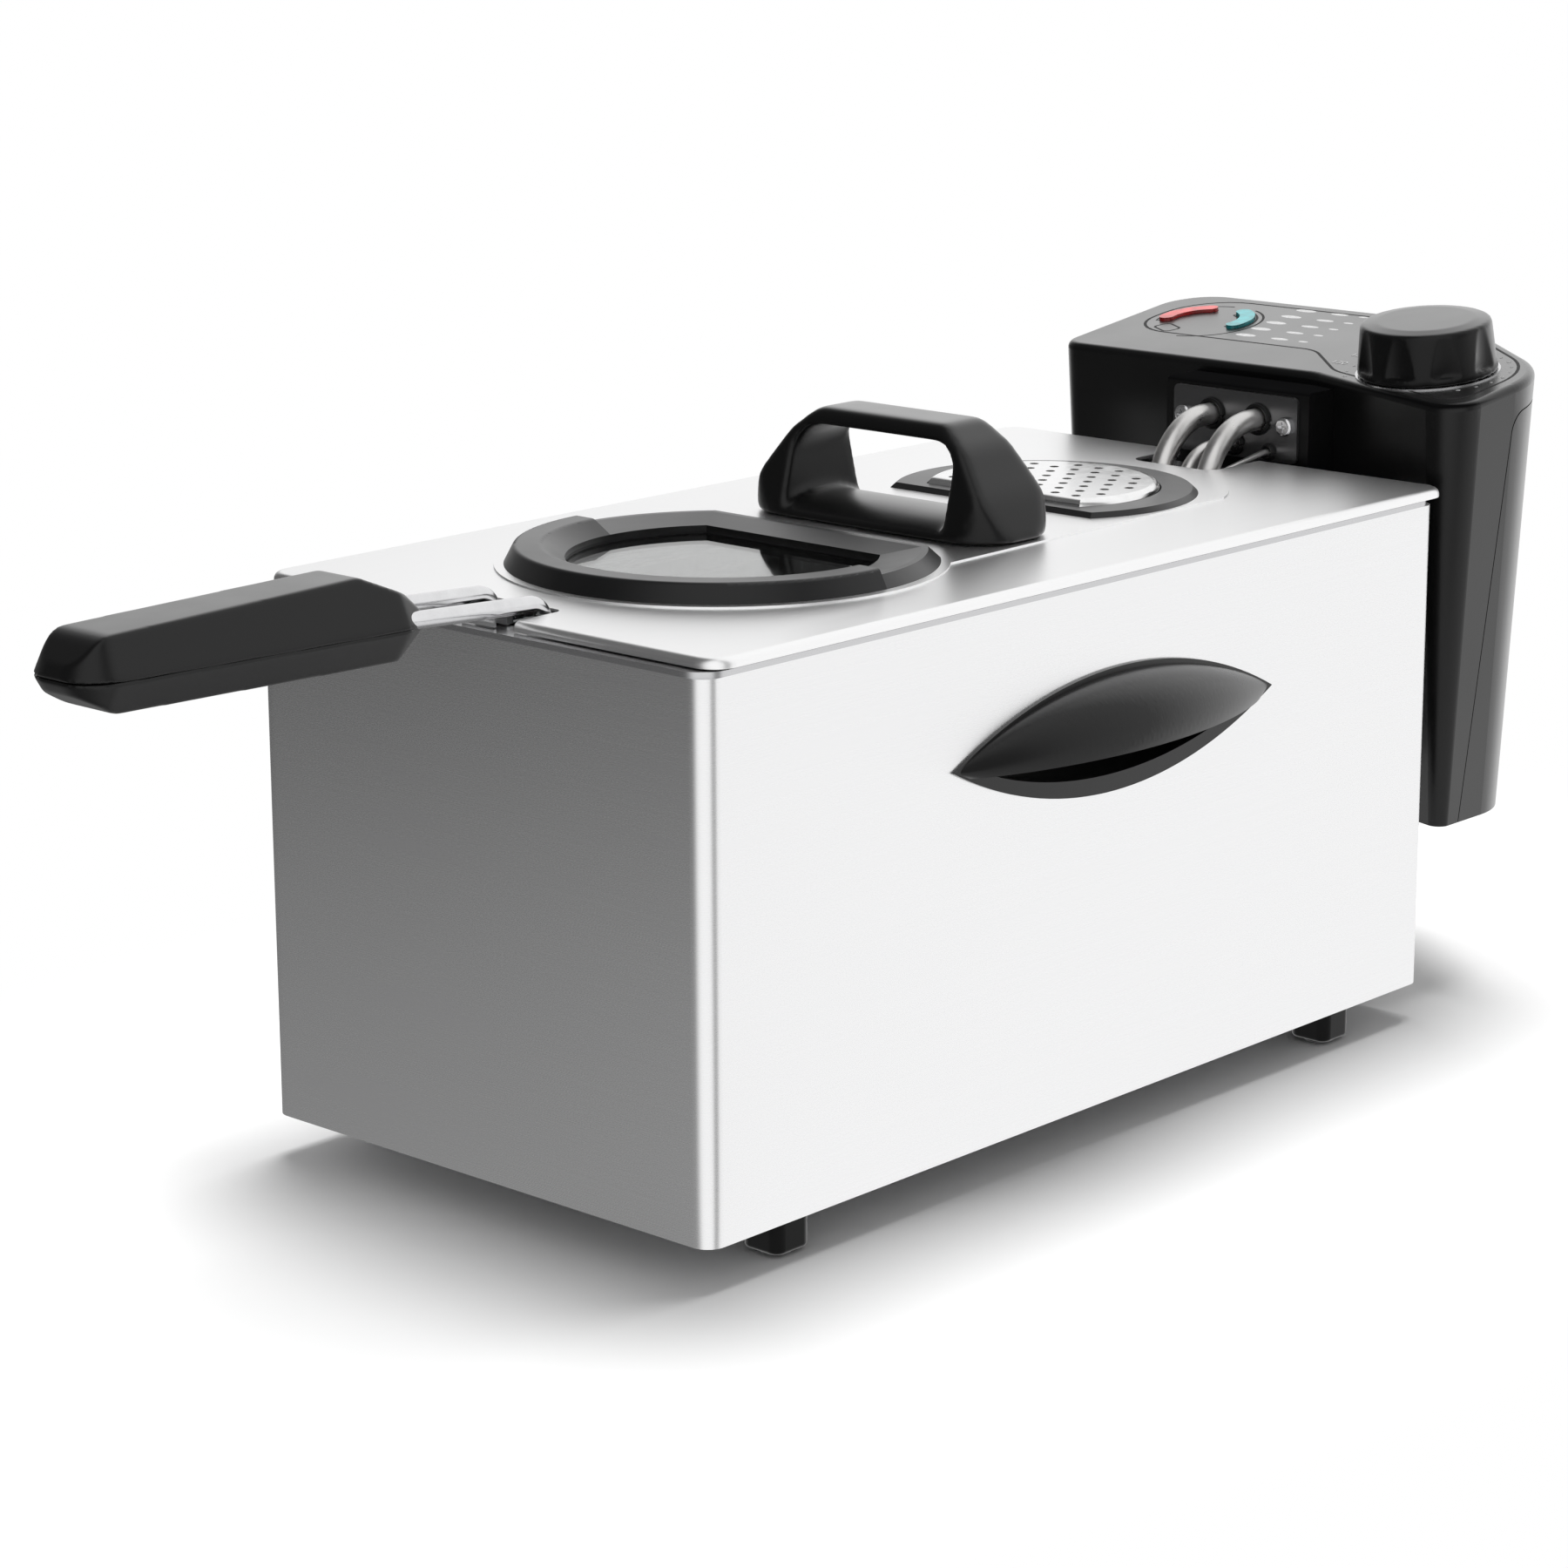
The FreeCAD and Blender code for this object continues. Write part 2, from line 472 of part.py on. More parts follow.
def loop(target, *pieces):
    """Closed outline: two points make a line, three points an arc through the middle one."""
    for piece in pieces:
        points = [flat(point) for point in piece]
        if len(points) == 2:
            target.addGeometry(Part.LineSegment(*points), False)
        else:
            target.addGeometry(Part.Arc(*points), False)
    return target


def outline(target, corners):
    """Closed outline of straight edges; a corner (x, y, radius) is rounded."""
    ends = []
    count = len(corners)
    for index, corner in enumerate(corners):
        here = flat(corner)
        radius = corner[2] if len(corner) > 2 else 0
        back = (flat(corners[index - 1]) - here).normalize()
        ahead = (flat(corners[(index + 1) % count]) - here).normalize()
        if not radius:
            ends.append((here, None, here))
            continue
        half = back.getAngle(ahead) / 2
        reach = radius / math.tan(half)
        crest = here + (back + ahead).normalize() * (radius / math.sin(half) - radius)
        ends.append((here + back * reach, crest, here + ahead * reach))
    for index, (start, middle, end) in enumerate(ends):
        if middle:
            target.addGeometry(Part.Arc(start, middle, end), False)
        following = ends[(index + 1) % count][0]
        if (following - end).Length > 1e-6:
            target.addGeometry(Part.LineSegment(end, following), False)
    return target


def rectangle(target, width, length, radius, x="0", y="0"):
    """Rounded rectangle whose sides and radius stay tied to the sheet."""
    left, right = mm(f"({x}) - ({width})/2"), mm(f"({x}) + ({width})/2")
    low, high = mm(f"({y}) - ({length})/2"), mm(f"({y}) + ({length})/2")
    turn = mm(radius)
    outline(target, [(right, low, turn), (right, high, turn), (left, high, turn), (left, low, turn)])
    first = target.GeometryCount - 8
    for step in range(8):
        target.addConstraint(
            Sketcher.Constraint("Tangent", first + step, 2, first + (step + 1) % 8, 1))
    for side, kind in ((1, "Vertical"), (3, "Horizontal"), (5, "Vertical"), (7, "Horizontal")):
        target.addConstraint(Sketcher.Constraint(kind, first + side))
    for arc in (2, 4, 6):
        target.addConstraint(Sketcher.Constraint("Equal", first, first + arc))
    limits = [
        ("DistanceX", -1, 1, first + 1, 1, right, f"({x}) + ({width})/2"),
        ("DistanceY", -1, 1, first + 3, 1, high, f"({y}) + ({length})/2"),
        ("DistanceX", -1, 1, first + 5, 1, left, f"({x}) - ({width})/2"),
        ("DistanceY", -1, 1, first + 7, 1, low, f"({y}) - ({length})/2"),
    ]
    for kind, geometry, point, other, end, value, expression in limits:
        index = target.addConstraint(Sketcher.Constraint(kind, geometry, point, other, end, value))
        bind(target, f"Constraints[{index}]", expression)
    index = target.addConstraint(Sketcher.Constraint("Radius", first, turn))
    bind(target, f"Constraints[{index}]", radius)
    return target


def circle(target, radius, x=0, y=0):
    """Circle whose radius stays tied to the sheet."""
    index = target.addGeometry(Part.Circle(Vector(x, y, 0), UP, mm(radius)), False)
    tie = target.addConstraint(Sketcher.Constraint("Radius", index, mm(radius)))
    bind(target, f"Constraints[{tie}]", radius)
    return target


def dee(target, radius, straight):
    """Circle about the origin with one straight side at the given y."""
    reach, side = mm(radius), mm(straight)
    half = math.sqrt(reach * reach - side * side)
    far = -math.copysign(reach, side)
    return loop(target, ((half, side), (0, far), (-half, side)), ((-half, side), (half, side)))


def feature(owner, kind, profile, **settings):
    fresh = owner.newObject(f"PartDesign::{kind}", f"{owner.Name}_{kind}")
    fresh.Profile = profile
    for name, setting in settings.items():
        setattr(fresh, name, setting)
    return fresh


def pad(owner, profile, length, reverse=False, middle=False):
    fresh = feature(owner, "Pad", profile, Reversed=reverse, SideType=SIDES[middle])
    bind(fresh, "Length", length)
    return fresh


def pocket(owner, profile, length=None, reverse=False, middle=False):
    """Cut against the sketch's normal, all the way unless a length is given."""
    fresh = feature(owner, "Pocket", profile, Reversed=reverse, SideType=SIDES[middle])
    if length is None:
        fresh.Type = "ThroughAll"
    else:
        bind(fresh, "Length", length)
    return fresh


def turned(owner, profile, axis="V_Axis", angle=360, kind="Revolution", reverse=False):
    return feature(owner, kind, profile, ReferenceAxis=(profile, [axis]), Angle=angle, Reversed=reverse)


def loft(owner, profiles, kind="AdditiveLoft"):
    return feature(owner, kind, profiles[0], Sections=profiles[1:], Ruled=True)


def fillet(owner, base, radius, chosen):
    """Round the edges of a feature that a test picks out."""
    doc.recompute()
    names = [f"Edge{i}" for i, edge in enumerate(base.Shape.Edges, 1) if chosen(edge)]
    fresh = owner.newObject("PartDesign::Fillet", f"{owner.Name}_Fillet")
    fresh.Base = (base, names)
    bind(fresh, "Radius", radius)
    return fresh


def drafted(owner, base, angle, level):
    """Lean the upright faces of a pad inwards, going away from its level face at one height."""
    doc.recompute()
    upright, top = [], []
    for index, face in enumerate(base.Shape.Faces, 1):
        box = face.BoundBox
        if box.ZMax - box.ZMin > 1:
            upright.append(f"Face{index}")
        elif abs(box.ZMax - level) < 1e-3:
            top.append(f"Face{index}")
    fresh = owner.newObject("PartDesign::Draft", f"{owner.Name}_Draft")
    fresh.Base = (base, upright)
    fresh.NeutralPlane = (base, top)
    fresh.Reversed = base.Shape.BoundBox.ZMin < level - 1
    bind(fresh, "Angle", angle)
    return fresh


def lies_at(level):
    """Test for edges that lie wholly at one height in the body's own frame."""
    def chosen(edge):
        box = edge.BoundBox
        return abs(box.ZMin - level) < 1e-3 and abs(box.ZMax - level) < 1e-3
    return chosen


def bent(points, radii):
    """Path of straight runs joined by tangent arcs."""
    spots = [Vector(*point) for point in points]
    edges = []
    start = spots[0]
    for index in range(1, len(spots) - 1):
        here = spots[index]
        back = (spots[index - 1] - here).normalize()
        ahead = (spots[index + 1] - here).normalize()
        half = back.getAngle(ahead) / 2
        radius = radii[index - 1]
        reach = radius / math.tan(half)
        crest = here + (back + ahead).normalize() * (radius / math.sin(half) - radius)
        enter = here + back * reach
        leave = here + ahead * reach
        if (enter - start).Length > 1e-6:
            edges.append(Part.LineSegment(start, enter).toShape())
        edges.append(Part.Arc(enter, crest, leave).toShape())
        start = leave
    if (spots[-1] - start).Length > 1e-6:
        edges.append(Part.LineSegment(start, spots[-1]).toShape())
    return Part.Wire(edges)


def tube(label, points, radii, radius):
    """Round bar swept along a bent path; its radius stays tied to the sheet."""
    path = doc.addObject("Part::Feature", f"{label}_path")
    path.Shape = bent(points, radii)
    section = doc.addObject("Part::Circle", f"{label}_section")
    bind(section, "Radius", radius)
    heading = Vector(*points[1]) - Vector(*points[0])
    section.Placement = Placement(Vector(*points[0]), Rotation(UP, heading))
    bar = doc.addObject("Part::Sweep", label)
    bar.Sections = [section]
    bar.Spine = (path, [f"Edge{i}" for i in range(1, len(path.Shape.Edges) + 1)])
    bar.Solid = True
    NODES.append(place(bar))
    return bar


def group(label, solids):
    """Separate like solids kept together as one piece."""
    fresh = doc.addObject("Part::Feature", label)
    fresh.Shape = Part.makeCompound(solids)
    NODES.append(place(fresh))
    return fresh


def screw(seat, heading, shank, head_radius="head_radius", head_height="head_height", recess=True):
    """Pan-head screw: the head stands on its seat and the shank runs along the heading."""
    reach, rise = mm(head_radius), mm(head_height)
    head = Part.makeCylinder(reach, rise, Vector(0, 0, -rise))
    rim = [edge for edge in head.Edges if abs(edge.BoundBox.ZMax + rise) < 1e-6]
    head = head.makeFillet(rise * HEAD_ROUND, rim)
    solid = head.fuse(Part.makeCylinder(mm("shank_radius"), shank))
    if recess:
        arm, thin = reach * CROSS_LENGTH, reach * CROSS_WIDTH
        tall = rise * (1 + CROSS_DEPTH)
        for long_side, short_side in ((arm, thin), (thin, arm)):
            corner = Vector(-long_side / 2, -short_side / 2, -2 * rise)
            solid = solid.cut(Part.makeBox(long_side, short_side, tall, corner))
    solid = solid.removeSplitter()
    solid.Placement = Placement(Vector(*seat), Rotation(UP, Vector(*heading)))
    return solid


FOOT_SPOTS = [(side_x, side_y) for side_x in (-1, 1) for side_y in (-1, 1)]
COVER_SCREWS = [(-72, 178), (10, 178), (-72, 96), (10, 96)]
TOP = "(foot_height + body_height)"


def housing():
    """Steel housing with turned-in lips and an eye-shaped cut-out on each side."""
    shell = body("housing_shell")
    pad(shell, rectangle(sketch(shell, lift="foot_height"), "body_width", "body_length", "body_corner"),
        "body_height")
    mouth = sketch(shell, lift=TOP)
    pocket(shell, rectangle(mouth, "body_width - 2*lip_width", "body_length - 2*lip_width", "body_corner"))
    inner = sketch(shell, lift=f"{TOP} - sheet_wall")
    rectangle(inner, "body_width - 2*sheet_wall", "body_length - 2*sheet_wall", "body_corner - sheet_wall")
    pocket(shell, inner, "body_height - 2*sheet_wall")
    eyes = eye(sketch(shell, "YZ_Plane"), "side_spare", mm("side_y"), mm("side_z"))
    pocket(shell, eyes, middle=True)

    plate = body("base_plate", z="foot_height + sheet_wall")
    slack = "(2*sheet_wall + 2*base_gap)"
    panel = sketch(plate)
    rectangle(panel, f"body_width - {slack}", f"body_length - {slack}", "body_corner - sheet_wall")
    for side_x, side_y in FOOT_SPOTS:
        circle(panel, "hole_radius", side_x * mm("foot_x"), side_y * mm("foot_y"))
    pad(plate, panel, "base_thick")
    slot = sketch(plate, lift="base_thick")
    rectangle(slot, "vent_length", "vent_width", "vent_width/2 - 0.01", y="-vent_span/2")
    cut = pocket(plate, slot)
    row = plate.newObject("PartDesign::LinearPattern", "base_plate_vents")
    row.Originals = [cut]
    row.Direction = (slot, ["V_Axis"])
    bind(row, "Length", "vent_span")
    row.Occurrences = VENTS
    plate.Tip = row


def eye(target, spare, centre_y=0, centre_z=0):
    """Eye made of two arcs, wider than the side grip's spindle by a spare amount."""
    half = mm(f"side_half + {spare}")
    rise = mm(f"side_rise + {spare}")
    left, right = (centre_y - half, centre_z), (centre_y + half, centre_z)
    top, bottom = (centre_y, centre_z + rise), (centre_y, centre_z - rise)
    return loop(target, (left, top, right), (right, bottom, left))


def bow(target, half, rise):
    """Half of a slim spindle above the sketch's x axis: a flat elliptic arch with blunt ends."""
    blunt = mm("side_tip")
    sink = 4 * rise
    tall = rise + sink
    start = math.asin((blunt + sink) / tall)
    arch = Part.Ellipse(Vector(0, -sink, 0), half / math.cos(start), tall)
    target.addGeometry(Part.ArcOfEllipse(arch, start, math.pi - start), False)
    return loop(target, ((-half, blunt), (-half, 0)), ((-half, 0), (half, 0)), ((half, 0), (half, blunt)))


def feet():
    """Four feet with rubber pads let into their undersides, each held by a screw from inside."""
    for side_x, side_y in FOOT_SPOTS:
        name = ("front" if side_y < 0 else "rear") + ("_left" if side_x < 0 else "_right")
        foot = body(f"foot_{name}", x=f"{side_x}*foot_x", y=f"{side_y}*foot_y")
        plan = rectangle(sketch(foot, lift="pad_proud"), "foot_side", "foot_side", "foot_corner")
        block = pad(foot, plan, "foot_height - pad_proud")
        fillet(foot, block, "pad_proud", lies_at(mm("pad_proud")))
        pad(foot, circle(sketch(foot, lift="foot_height"), "spigot_radius"), "sheet_wall")
        pocket(foot, circle(sketch(foot, lift="pad_proud + pad_recess"), "pad_radius"))
        bore = circle(sketch(foot, lift="foot_height + sheet_wall"), "hole_radius")
        pocket(foot, bore, "foot_height/2")
    spots = [(side_x * mm("foot_x"), side_y * mm("foot_y")) for side_x, side_y in FOOT_SPOTS]
    thick, edge_round = mm("pad_proud + pad_recess"), mm("pad_round")
    pads = [Part.makeCylinder(mm("pad_radius"), thick, Vector(x, y, 0)) for x, y in spots]
    group("foot_pads", [disc.makeFillet(edge_round, [disc.Edges[2]]) for disc in pads])
    seat = mm("foot_height + sheet_wall + base_thick")
    shank = mm("foot_height/2")
    group("foot_screws", [screw((x, y, seat), -UP, shank) for x, y in spots])


def side_grips():
    """Brow and finger recess turned about one axis, hollowed and opened below the brow."""
    for name, side in (("right", 1), ("left", -1)):
        grip = body(f"side_grip_{name}", x=f"{side}*body_width/2", y="side_y", z="side_z")
        if side < 0:
            grip.Placement.Rotation = Rotation(UP, 180)
        half, rise, thick = mm("side_half"), mm("side_rise"), mm("side_shell")
        turned(grip, bow(sketch(grip, "YZ_Plane"), half, rise), "H_Axis")
        pad(grip, eye(sketch(grip, "YZ_Plane"), "side_flange"), "side_flange_thick")
        behind = sketch(grip, "YZ_Plane", "-side_depth - side_back")
        pocket(grip, rectangle(behind, "4*side_half", "4*side_half", "side_shell"))
        hollow = bow(sketch(grip, "YZ_Plane"), half - 2 * thick, rise - thick)
        turned(grip, hollow, "H_Axis", kind="Groove")
        back = sketch(grip, "YZ_Plane", "-side_depth")
        wide, tall = mm("side_back_half"), mm("side_back_rise")
        loop(back, ((-wide, 0), (0, tall), (wide, 0)), ((wide, 0), (0, -tall), (-wide, 0)))
        pad(grip, back, "side_back", reverse=True)
        front = sketch(grip, "YZ_Plane", "side_flange_thick")
        drop = -mm("brow_drop")
        outline(front, [(-half * 2, drop), (half * 2, drop), (half * 2, -half), (-half * 2, -half)])
        pocket(grip, front, reverse=True)


def tank():
    """Drawn oil tank: flat rim, leaning walls and a narrower cold zone below the element."""
    drum = body("oil_tank")
    pad(drum, rectangle(sketch(drum, lift=TOP), "body_width", "body_length", "rim_corner"), "rim_thick")
    levels = [
        (TOP, "mouth_width", "mouth_length", "mouth_corner"),
        ("step_z", "step_width", "step_length", "mouth_corner"),
        ("well_z", "well_width", "well_length", "well_corner"),
    ]
    loft(drum, [rectangle(sketch(drum, lift=z), w, l, r) for z, w, l, r in levels])
    inner = []
    for index, (z, w, l, r) in enumerate(levels):
        rise = (f"{z} + rim_thick", z, f"{z} + tank_wall")[index]
        inner.append(rectangle(sketch(drum, lift=rise), f"{w} - 2*tank_wall", f"{l} - 2*tank_wall",
                               f"{r} - tank_wall"))
    loft(drum, inner, "SubtractiveLoft")


def guide():
    """Channel riveted to the back of the housing, with a shelf that the control unit sits on."""
    channel = body("guide_channel")
    half, sheet_thick = mm("guide_half"), mm("guide_sheet")
    wall = mm("body_length/2")
    out = wall + mm("guide_depth")
    section = sketch(channel, lift="guide_low")
    outline(section, [
        (-half - sheet_thick, wall), (half + sheet_thick, wall), (half + sheet_thick, out), (half, out),
        (half, wall + sheet_thick), (-half, wall + sheet_thick), (-half, out), (-half - sheet_thick, out)])
    pad(channel, section, "guide_high - guide_low")
    shelf = sketch(channel, lift="guide_low")
    outline(shelf, [(-half, wall), (half, wall), (half, out), (-half, out)])
    pad(channel, shelf, "shelf_thick")
    holes = sketch(channel, "XZ_Plane", "-body_length/2 - guide_sheet")
    for side in (-1, 1):
        for level in ("rivet_low", "rivet_high"):
            circle(holes, "hole_radius", side * mm("rivet_x"), mm(level))
    pocket(channel, holes, "guide_sheet", reverse=True)
    rivets = []
    for side in (-1, 1):
        for level in ("rivet_low", "rivet_high"):
            seat = (side * mm("rivet_x"), wall + sheet_thick, mm(level))
            rivets.append(screw(seat, (0, -1, 0), sheet_thick, head_height="rivet_head", recess=False))
    group("guide_rivets", rivets)


def lid():
    """Lid with a turned-down rim, a raised field and openings for window, filter, tubes and wires."""
    cover = body("lid_shell")
    length, centre = "lid_front + lid_back", "(lid_back - lid_front)/2"
    plan = rectangle(sketch(cover, lift="lid_low"), "lid_width", length, "lid_corner", y=centre)
    block = pad(cover, plan, "lid_top - lid_low")
    fillet(cover, block, "lid_edge", lies_at(mm("lid_top")))
    under = sketch(cover, lift="lid_top - lid_sheet")
    take = "2*lid_sheet"
    rectangle(under, f"lid_width - {take}", f"{length} - {take}", "lid_corner - lid_sheet", y=centre)
    pocket(cover, under)
    bead = sketch(cover, lift="lid_low")
    bead_length = f"bead_width + {length} - lid_width"
    for take in ("0", "2*bead_sheet"):
        rectangle(bead, f"bead_width - {take}", f"{bead_length} - {take}", "lid_corner/2", y=centre)
    pad(cover, bead, "lid_top - lid_low - lid_sheet/2")

    field = sketch(cover, lift="lid_top - lid_sheet/2")
    front, side, back = mm("field_front"), mm("field_side"), mm("field_back")
    middle, rear = -mm("window_y"), mm("field_y")
    neck_y = middle + math.sqrt(front * front - side * side)
    rear_x = mm("field_rear")
    rear_y = rear + math.sqrt(back * back - rear_x * rear_x)
    loop(field, ((-side, neck_y), (0, middle - front), (side, neck_y)),
         ((side, neck_y), (rear_x, rear_y)),
         ((rear_x, rear_y), (0, rear + back), (-rear_x, rear_y)),
         ((-rear_x, rear_y), (-side, neck_y)))
    pad(cover, field, "field_rise + lid_sheet/2")
    seats = (("collar_radius + fit_gap", "collar_flat + fit_gap", "-window_y"),
             ("socket_radius + fit_gap", "-socket_flat - fit_gap", "filter_y"))
    for radius, straight, spot in seats:
        hole = dee(sketch(cover, lift="lid_top + field_rise"), radius, straight)
        bind(hole, "AttachmentOffset.Base.y", spot)
        pocket(cover, hole)

    ways = sketch(cover, lift="lid_top + field_rise")
    notch, notch_y, slot_y = mm("notch_half"), mm("notch_y"), -mm("slot_y")
    notch_round, slot_round = mm("notch_round"), mm("slot_round")
    past = mm("body_length")
    outline(ways, [(-notch, notch_y, notch_round), (notch, notch_y, notch_round), (notch, past),
                   (-notch, past)])
    for turn in (-1, 1):
        left = turn * mm("wire_x") - mm("slot_half")
        right = turn * mm("wire_x") + mm("slot_half")
        outline(ways, [(left, -past), (right, -past), (right, slot_y, slot_round),
                       (left, slot_y, slot_round)])
        circle(ways, "hole_radius", turn * mm("arch_screw_x"), mm("arch_y"))
    pocket(cover, ways)


def window():
    """D-shaped viewing window: funnel frame with a raised front crescent, glass, gasket and retainer."""
    spot = {"y": "-window_y", "z": "lid_top + field_rise"}
    frame = body("window_frame", **spot)
    loft(frame, [dee(sketch(frame), "window_radius", "window_flat"),
                 dee(sketch(frame, lift="ridge_rise"), "ridge_radius", "ridge_flat")])
    pad(frame, dee(sketch(frame), "collar_radius", "collar_flat"), "collar_drop", reverse=True)
    loft(frame, [dee(sketch(frame, lift="ridge_rise + 0.01"), "slope_radius", "slope_flat"),
                 dee(sketch(frame, lift="view_rise"), "view_radius", "view_flat")], "SubtractiveLoft")
    crescent = sketch(frame, "XZ_Plane")
    outer, inner = mm("window_radius"), mm("view_radius")
    crest, lip = mm("crescent_rise"), mm("view_rise")
    outline(crescent, [(inner, lip), (outer, 0),
                       (outer - mm("crescent_out"), crest, mm("crescent_round")),
                       (outer - mm("crescent_in"), crest, 2 * mm("crescent_round"))])
    turned(frame, crescent, angle=180, reverse=True)
    pocket(frame, dee(sketch(frame, lift="ridge_rise"), "view_radius", "view_flat"))
    pocket(frame, dee(sketch(frame), "glass_radius + fit_gap", "glass_flat + fit_gap"))

    def ring(label, low, thick, outer_size, inner_size):
        part = body(label, **spot)
        plan = dee(sketch(part, lift=low), *outer_size)
        if inner_size:
            dee(plan, *inner_size)
        pad(part, plan, thick)
        return part

    view = ("view_radius", "view_flat")
    glass = ("glass_radius", "glass_flat")
    ring("window_gasket", "-gasket_thick", "gasket_thick", glass, view)
    ring("window_glass", "-gasket_thick - glass_thick", "glass_thick", glass, None)
    retainer = ring("window_retainer", "-collar_drop - retainer_thick", "retainer_thick",
                    ("collar_radius + retainer_lap", "collar_flat + retainer_lap"), view)
    step = dee(dee(sketch(retainer, lift="-collar_drop"), *glass), *view)
    pad(retainer, step, "collar_drop - gasket_thick - glass_thick")


def steam_filter():
    """D-shaped steam filter: ring, crowned grille with staggered holes, pad and tray."""
    spot = {"y": "filter_y", "z": "lid_top + field_rise"}
    ring = body("filter_ring", **spot)
    upper = sketch(ring, lift="filter_rise")
    loft(ring, [dee(sketch(ring), "filter_radius", "-filter_flat"),
                dee(upper, "filter_radius - filter_slope", "-filter_flat + filter_slope")])
    pad(ring, dee(sketch(ring), "socket_radius", "-socket_flat"), "socket_drop", reverse=True)
    seat = sketch(ring, lift="filter_rise")
    pocket(ring, dee(seat, "grille_radius + fit_gap", "-grille_flat - fit_gap"))

    grille = body("filter_grille", **spot)
    crown = pad(grille, dee(sketch(grille), "grille_radius", "-grille_flat"), "grille_rise")
    fillet(grille, crown, "grille_round", lies_at(mm("grille_rise")))
    inside = sketch(grille, lift="grille_rise - grille_sheet")
    pocket(grille, dee(inside, "grille_radius - 2*grille_sheet", "-grille_flat + 2*grille_sheet"))
    holes = sketch(grille, lift="grille_rise")
    pitch, row = mm("grille_pitch"), mm("grille_row")
    reach = mm("grille_radius - grille_round - 2*grille_hole")
    edge = mm("-grille_flat + grille_round + 2*grille_hole")
    columns = math.ceil(reach / pitch)
    for line in range(math.ceil((reach - edge) / row)):
        y = edge + line * row
        for column in range(-columns, columns + 1):
            x = (column + 0.5 * (line % 2)) * pitch
            if math.hypot(x, y) < reach:
                circle(holes, "grille_hole", x, y)
    pocket(grille, holes)

    felt = body("filter_pad", **spot)
    plan = dee(sketch(felt), "grille_radius - fit_gap", "-grille_flat + fit_gap")
    pad(felt, plan, "filter_pad_thick", reverse=True)
    tray = body("filter_tray", **spot)
    floor = dee(sketch(tray, lift="-filter_pad_thick"), "grille_radius", "-grille_flat")
    half, low, high = mm("tray_slot_half"), -mm("tray_slot_front"), mm("tray_slot_back")
    corner = mm("tray_slot_round")
    for step in range(TRAY_SLOTS):
        x = (step - (TRAY_SLOTS - 1) / 2) * mm("tray_slot_pitch")
        outline(floor, [(x - half, low, corner), (x + half, low, corner), (x + half, high, corner),
                        (x - half, high, corner)])
    pad(tray, floor, "tray_thick", reverse=True)


def lid_handle():
    """Arched handle: its side, end and plan outlines cut one another, over a humped foot."""
    arch = body("lid_handle", y="arch_y", z="lid_top + field_rise")
    half, knee, shoulder, top = mm("arch_half"), mm("arch_knee"), mm("arch_shoulder"), mm("arch_top")
    knee_z, shoulder_z, rise = mm("arch_knee_z"), mm("arch_shoulder_z"), mm("arch_rise")
    sweep, crest = mm("arch_sweep"), mm("arch_crest")
    side = sketch(arch, "XZ_Plane")
    outline(side, [(-half, 0), (half, 0), (knee, knee_z, sweep), (shoulder, shoulder_z, sweep / 2),
                   (top, rise, crest), (-top, rise, crest), (-shoulder, shoulder_z, sweep / 2),
                   (-knee, knee_z, sweep)])
    gap, low, high = mm("arch_gap_half"), mm("arch_gap_low"), mm("arch_gap_high")
    corner = mm("arch_gap_round")
    outline(side, [(-gap, low), (gap, low), (gap, high, corner), (-gap, high, corner)])
    pad(arch, side, "arch_depth", middle=True)

    foot, waist, crown = mm("arch_depth/2"), mm("arch_waist/2"), mm("arch_crown/2")
    clear = 2 * half
    ends = sketch(arch, "YZ_Plane")
    outline(ends, [(-clear, -foot), (clear, -foot), (clear, clear), (-clear, clear)])
    outline(ends, [(-foot, -1), (foot, -1), (foot, mm("arch_gap_edge")), (waist, shoulder_z, sweep / 2),
                   (crown, rise, crest / 2), (-crown, rise, crest / 2), (-waist, shoulder_z, sweep / 2),
                   (-foot, mm("arch_gap_edge"))])
    pocket(arch, ends, middle=True)
    plan = sketch(arch)
    round_plan = mm("arch_plan")
    outline(plan, [(-clear, -clear), (clear, -clear), (clear, clear), (-clear, clear)])
    outline(plan, [(-half, -foot, round_plan), (half, -foot, round_plan), (half, foot, round_plan),
                   (-half, foot, round_plan)])
    pocket(arch, plan, reverse=True)

    hump = sketch(arch, "YZ_Plane")
    edge = mm("arch_gap_edge")
    loop(hump, ((-foot, edge), (0, low), (foot, edge)), ((foot, edge), (foot, high / 2)),
         ((foot, high / 2), (-foot, high / 2)), ((-foot, high / 2), (-foot, edge)))
    pocket(arch, hump, "2*arch_gap_half", middle=True)
    sockets = sketch(arch)
    for turn in (-1, 1):
        circle(sockets, "hole_radius", turn * mm("arch_screw_x"))
    pocket(arch, sockets, "arch_socket", reverse=True)
    seat = mm("lid_top - lid_sheet")
    shank = mm("arch_socket - 1")
    group("lid_handle_screws",
          [screw((turn * mm("arch_screw_x"), mm("arch_y"), seat), UP, shank) for turn in (-1, 1)])


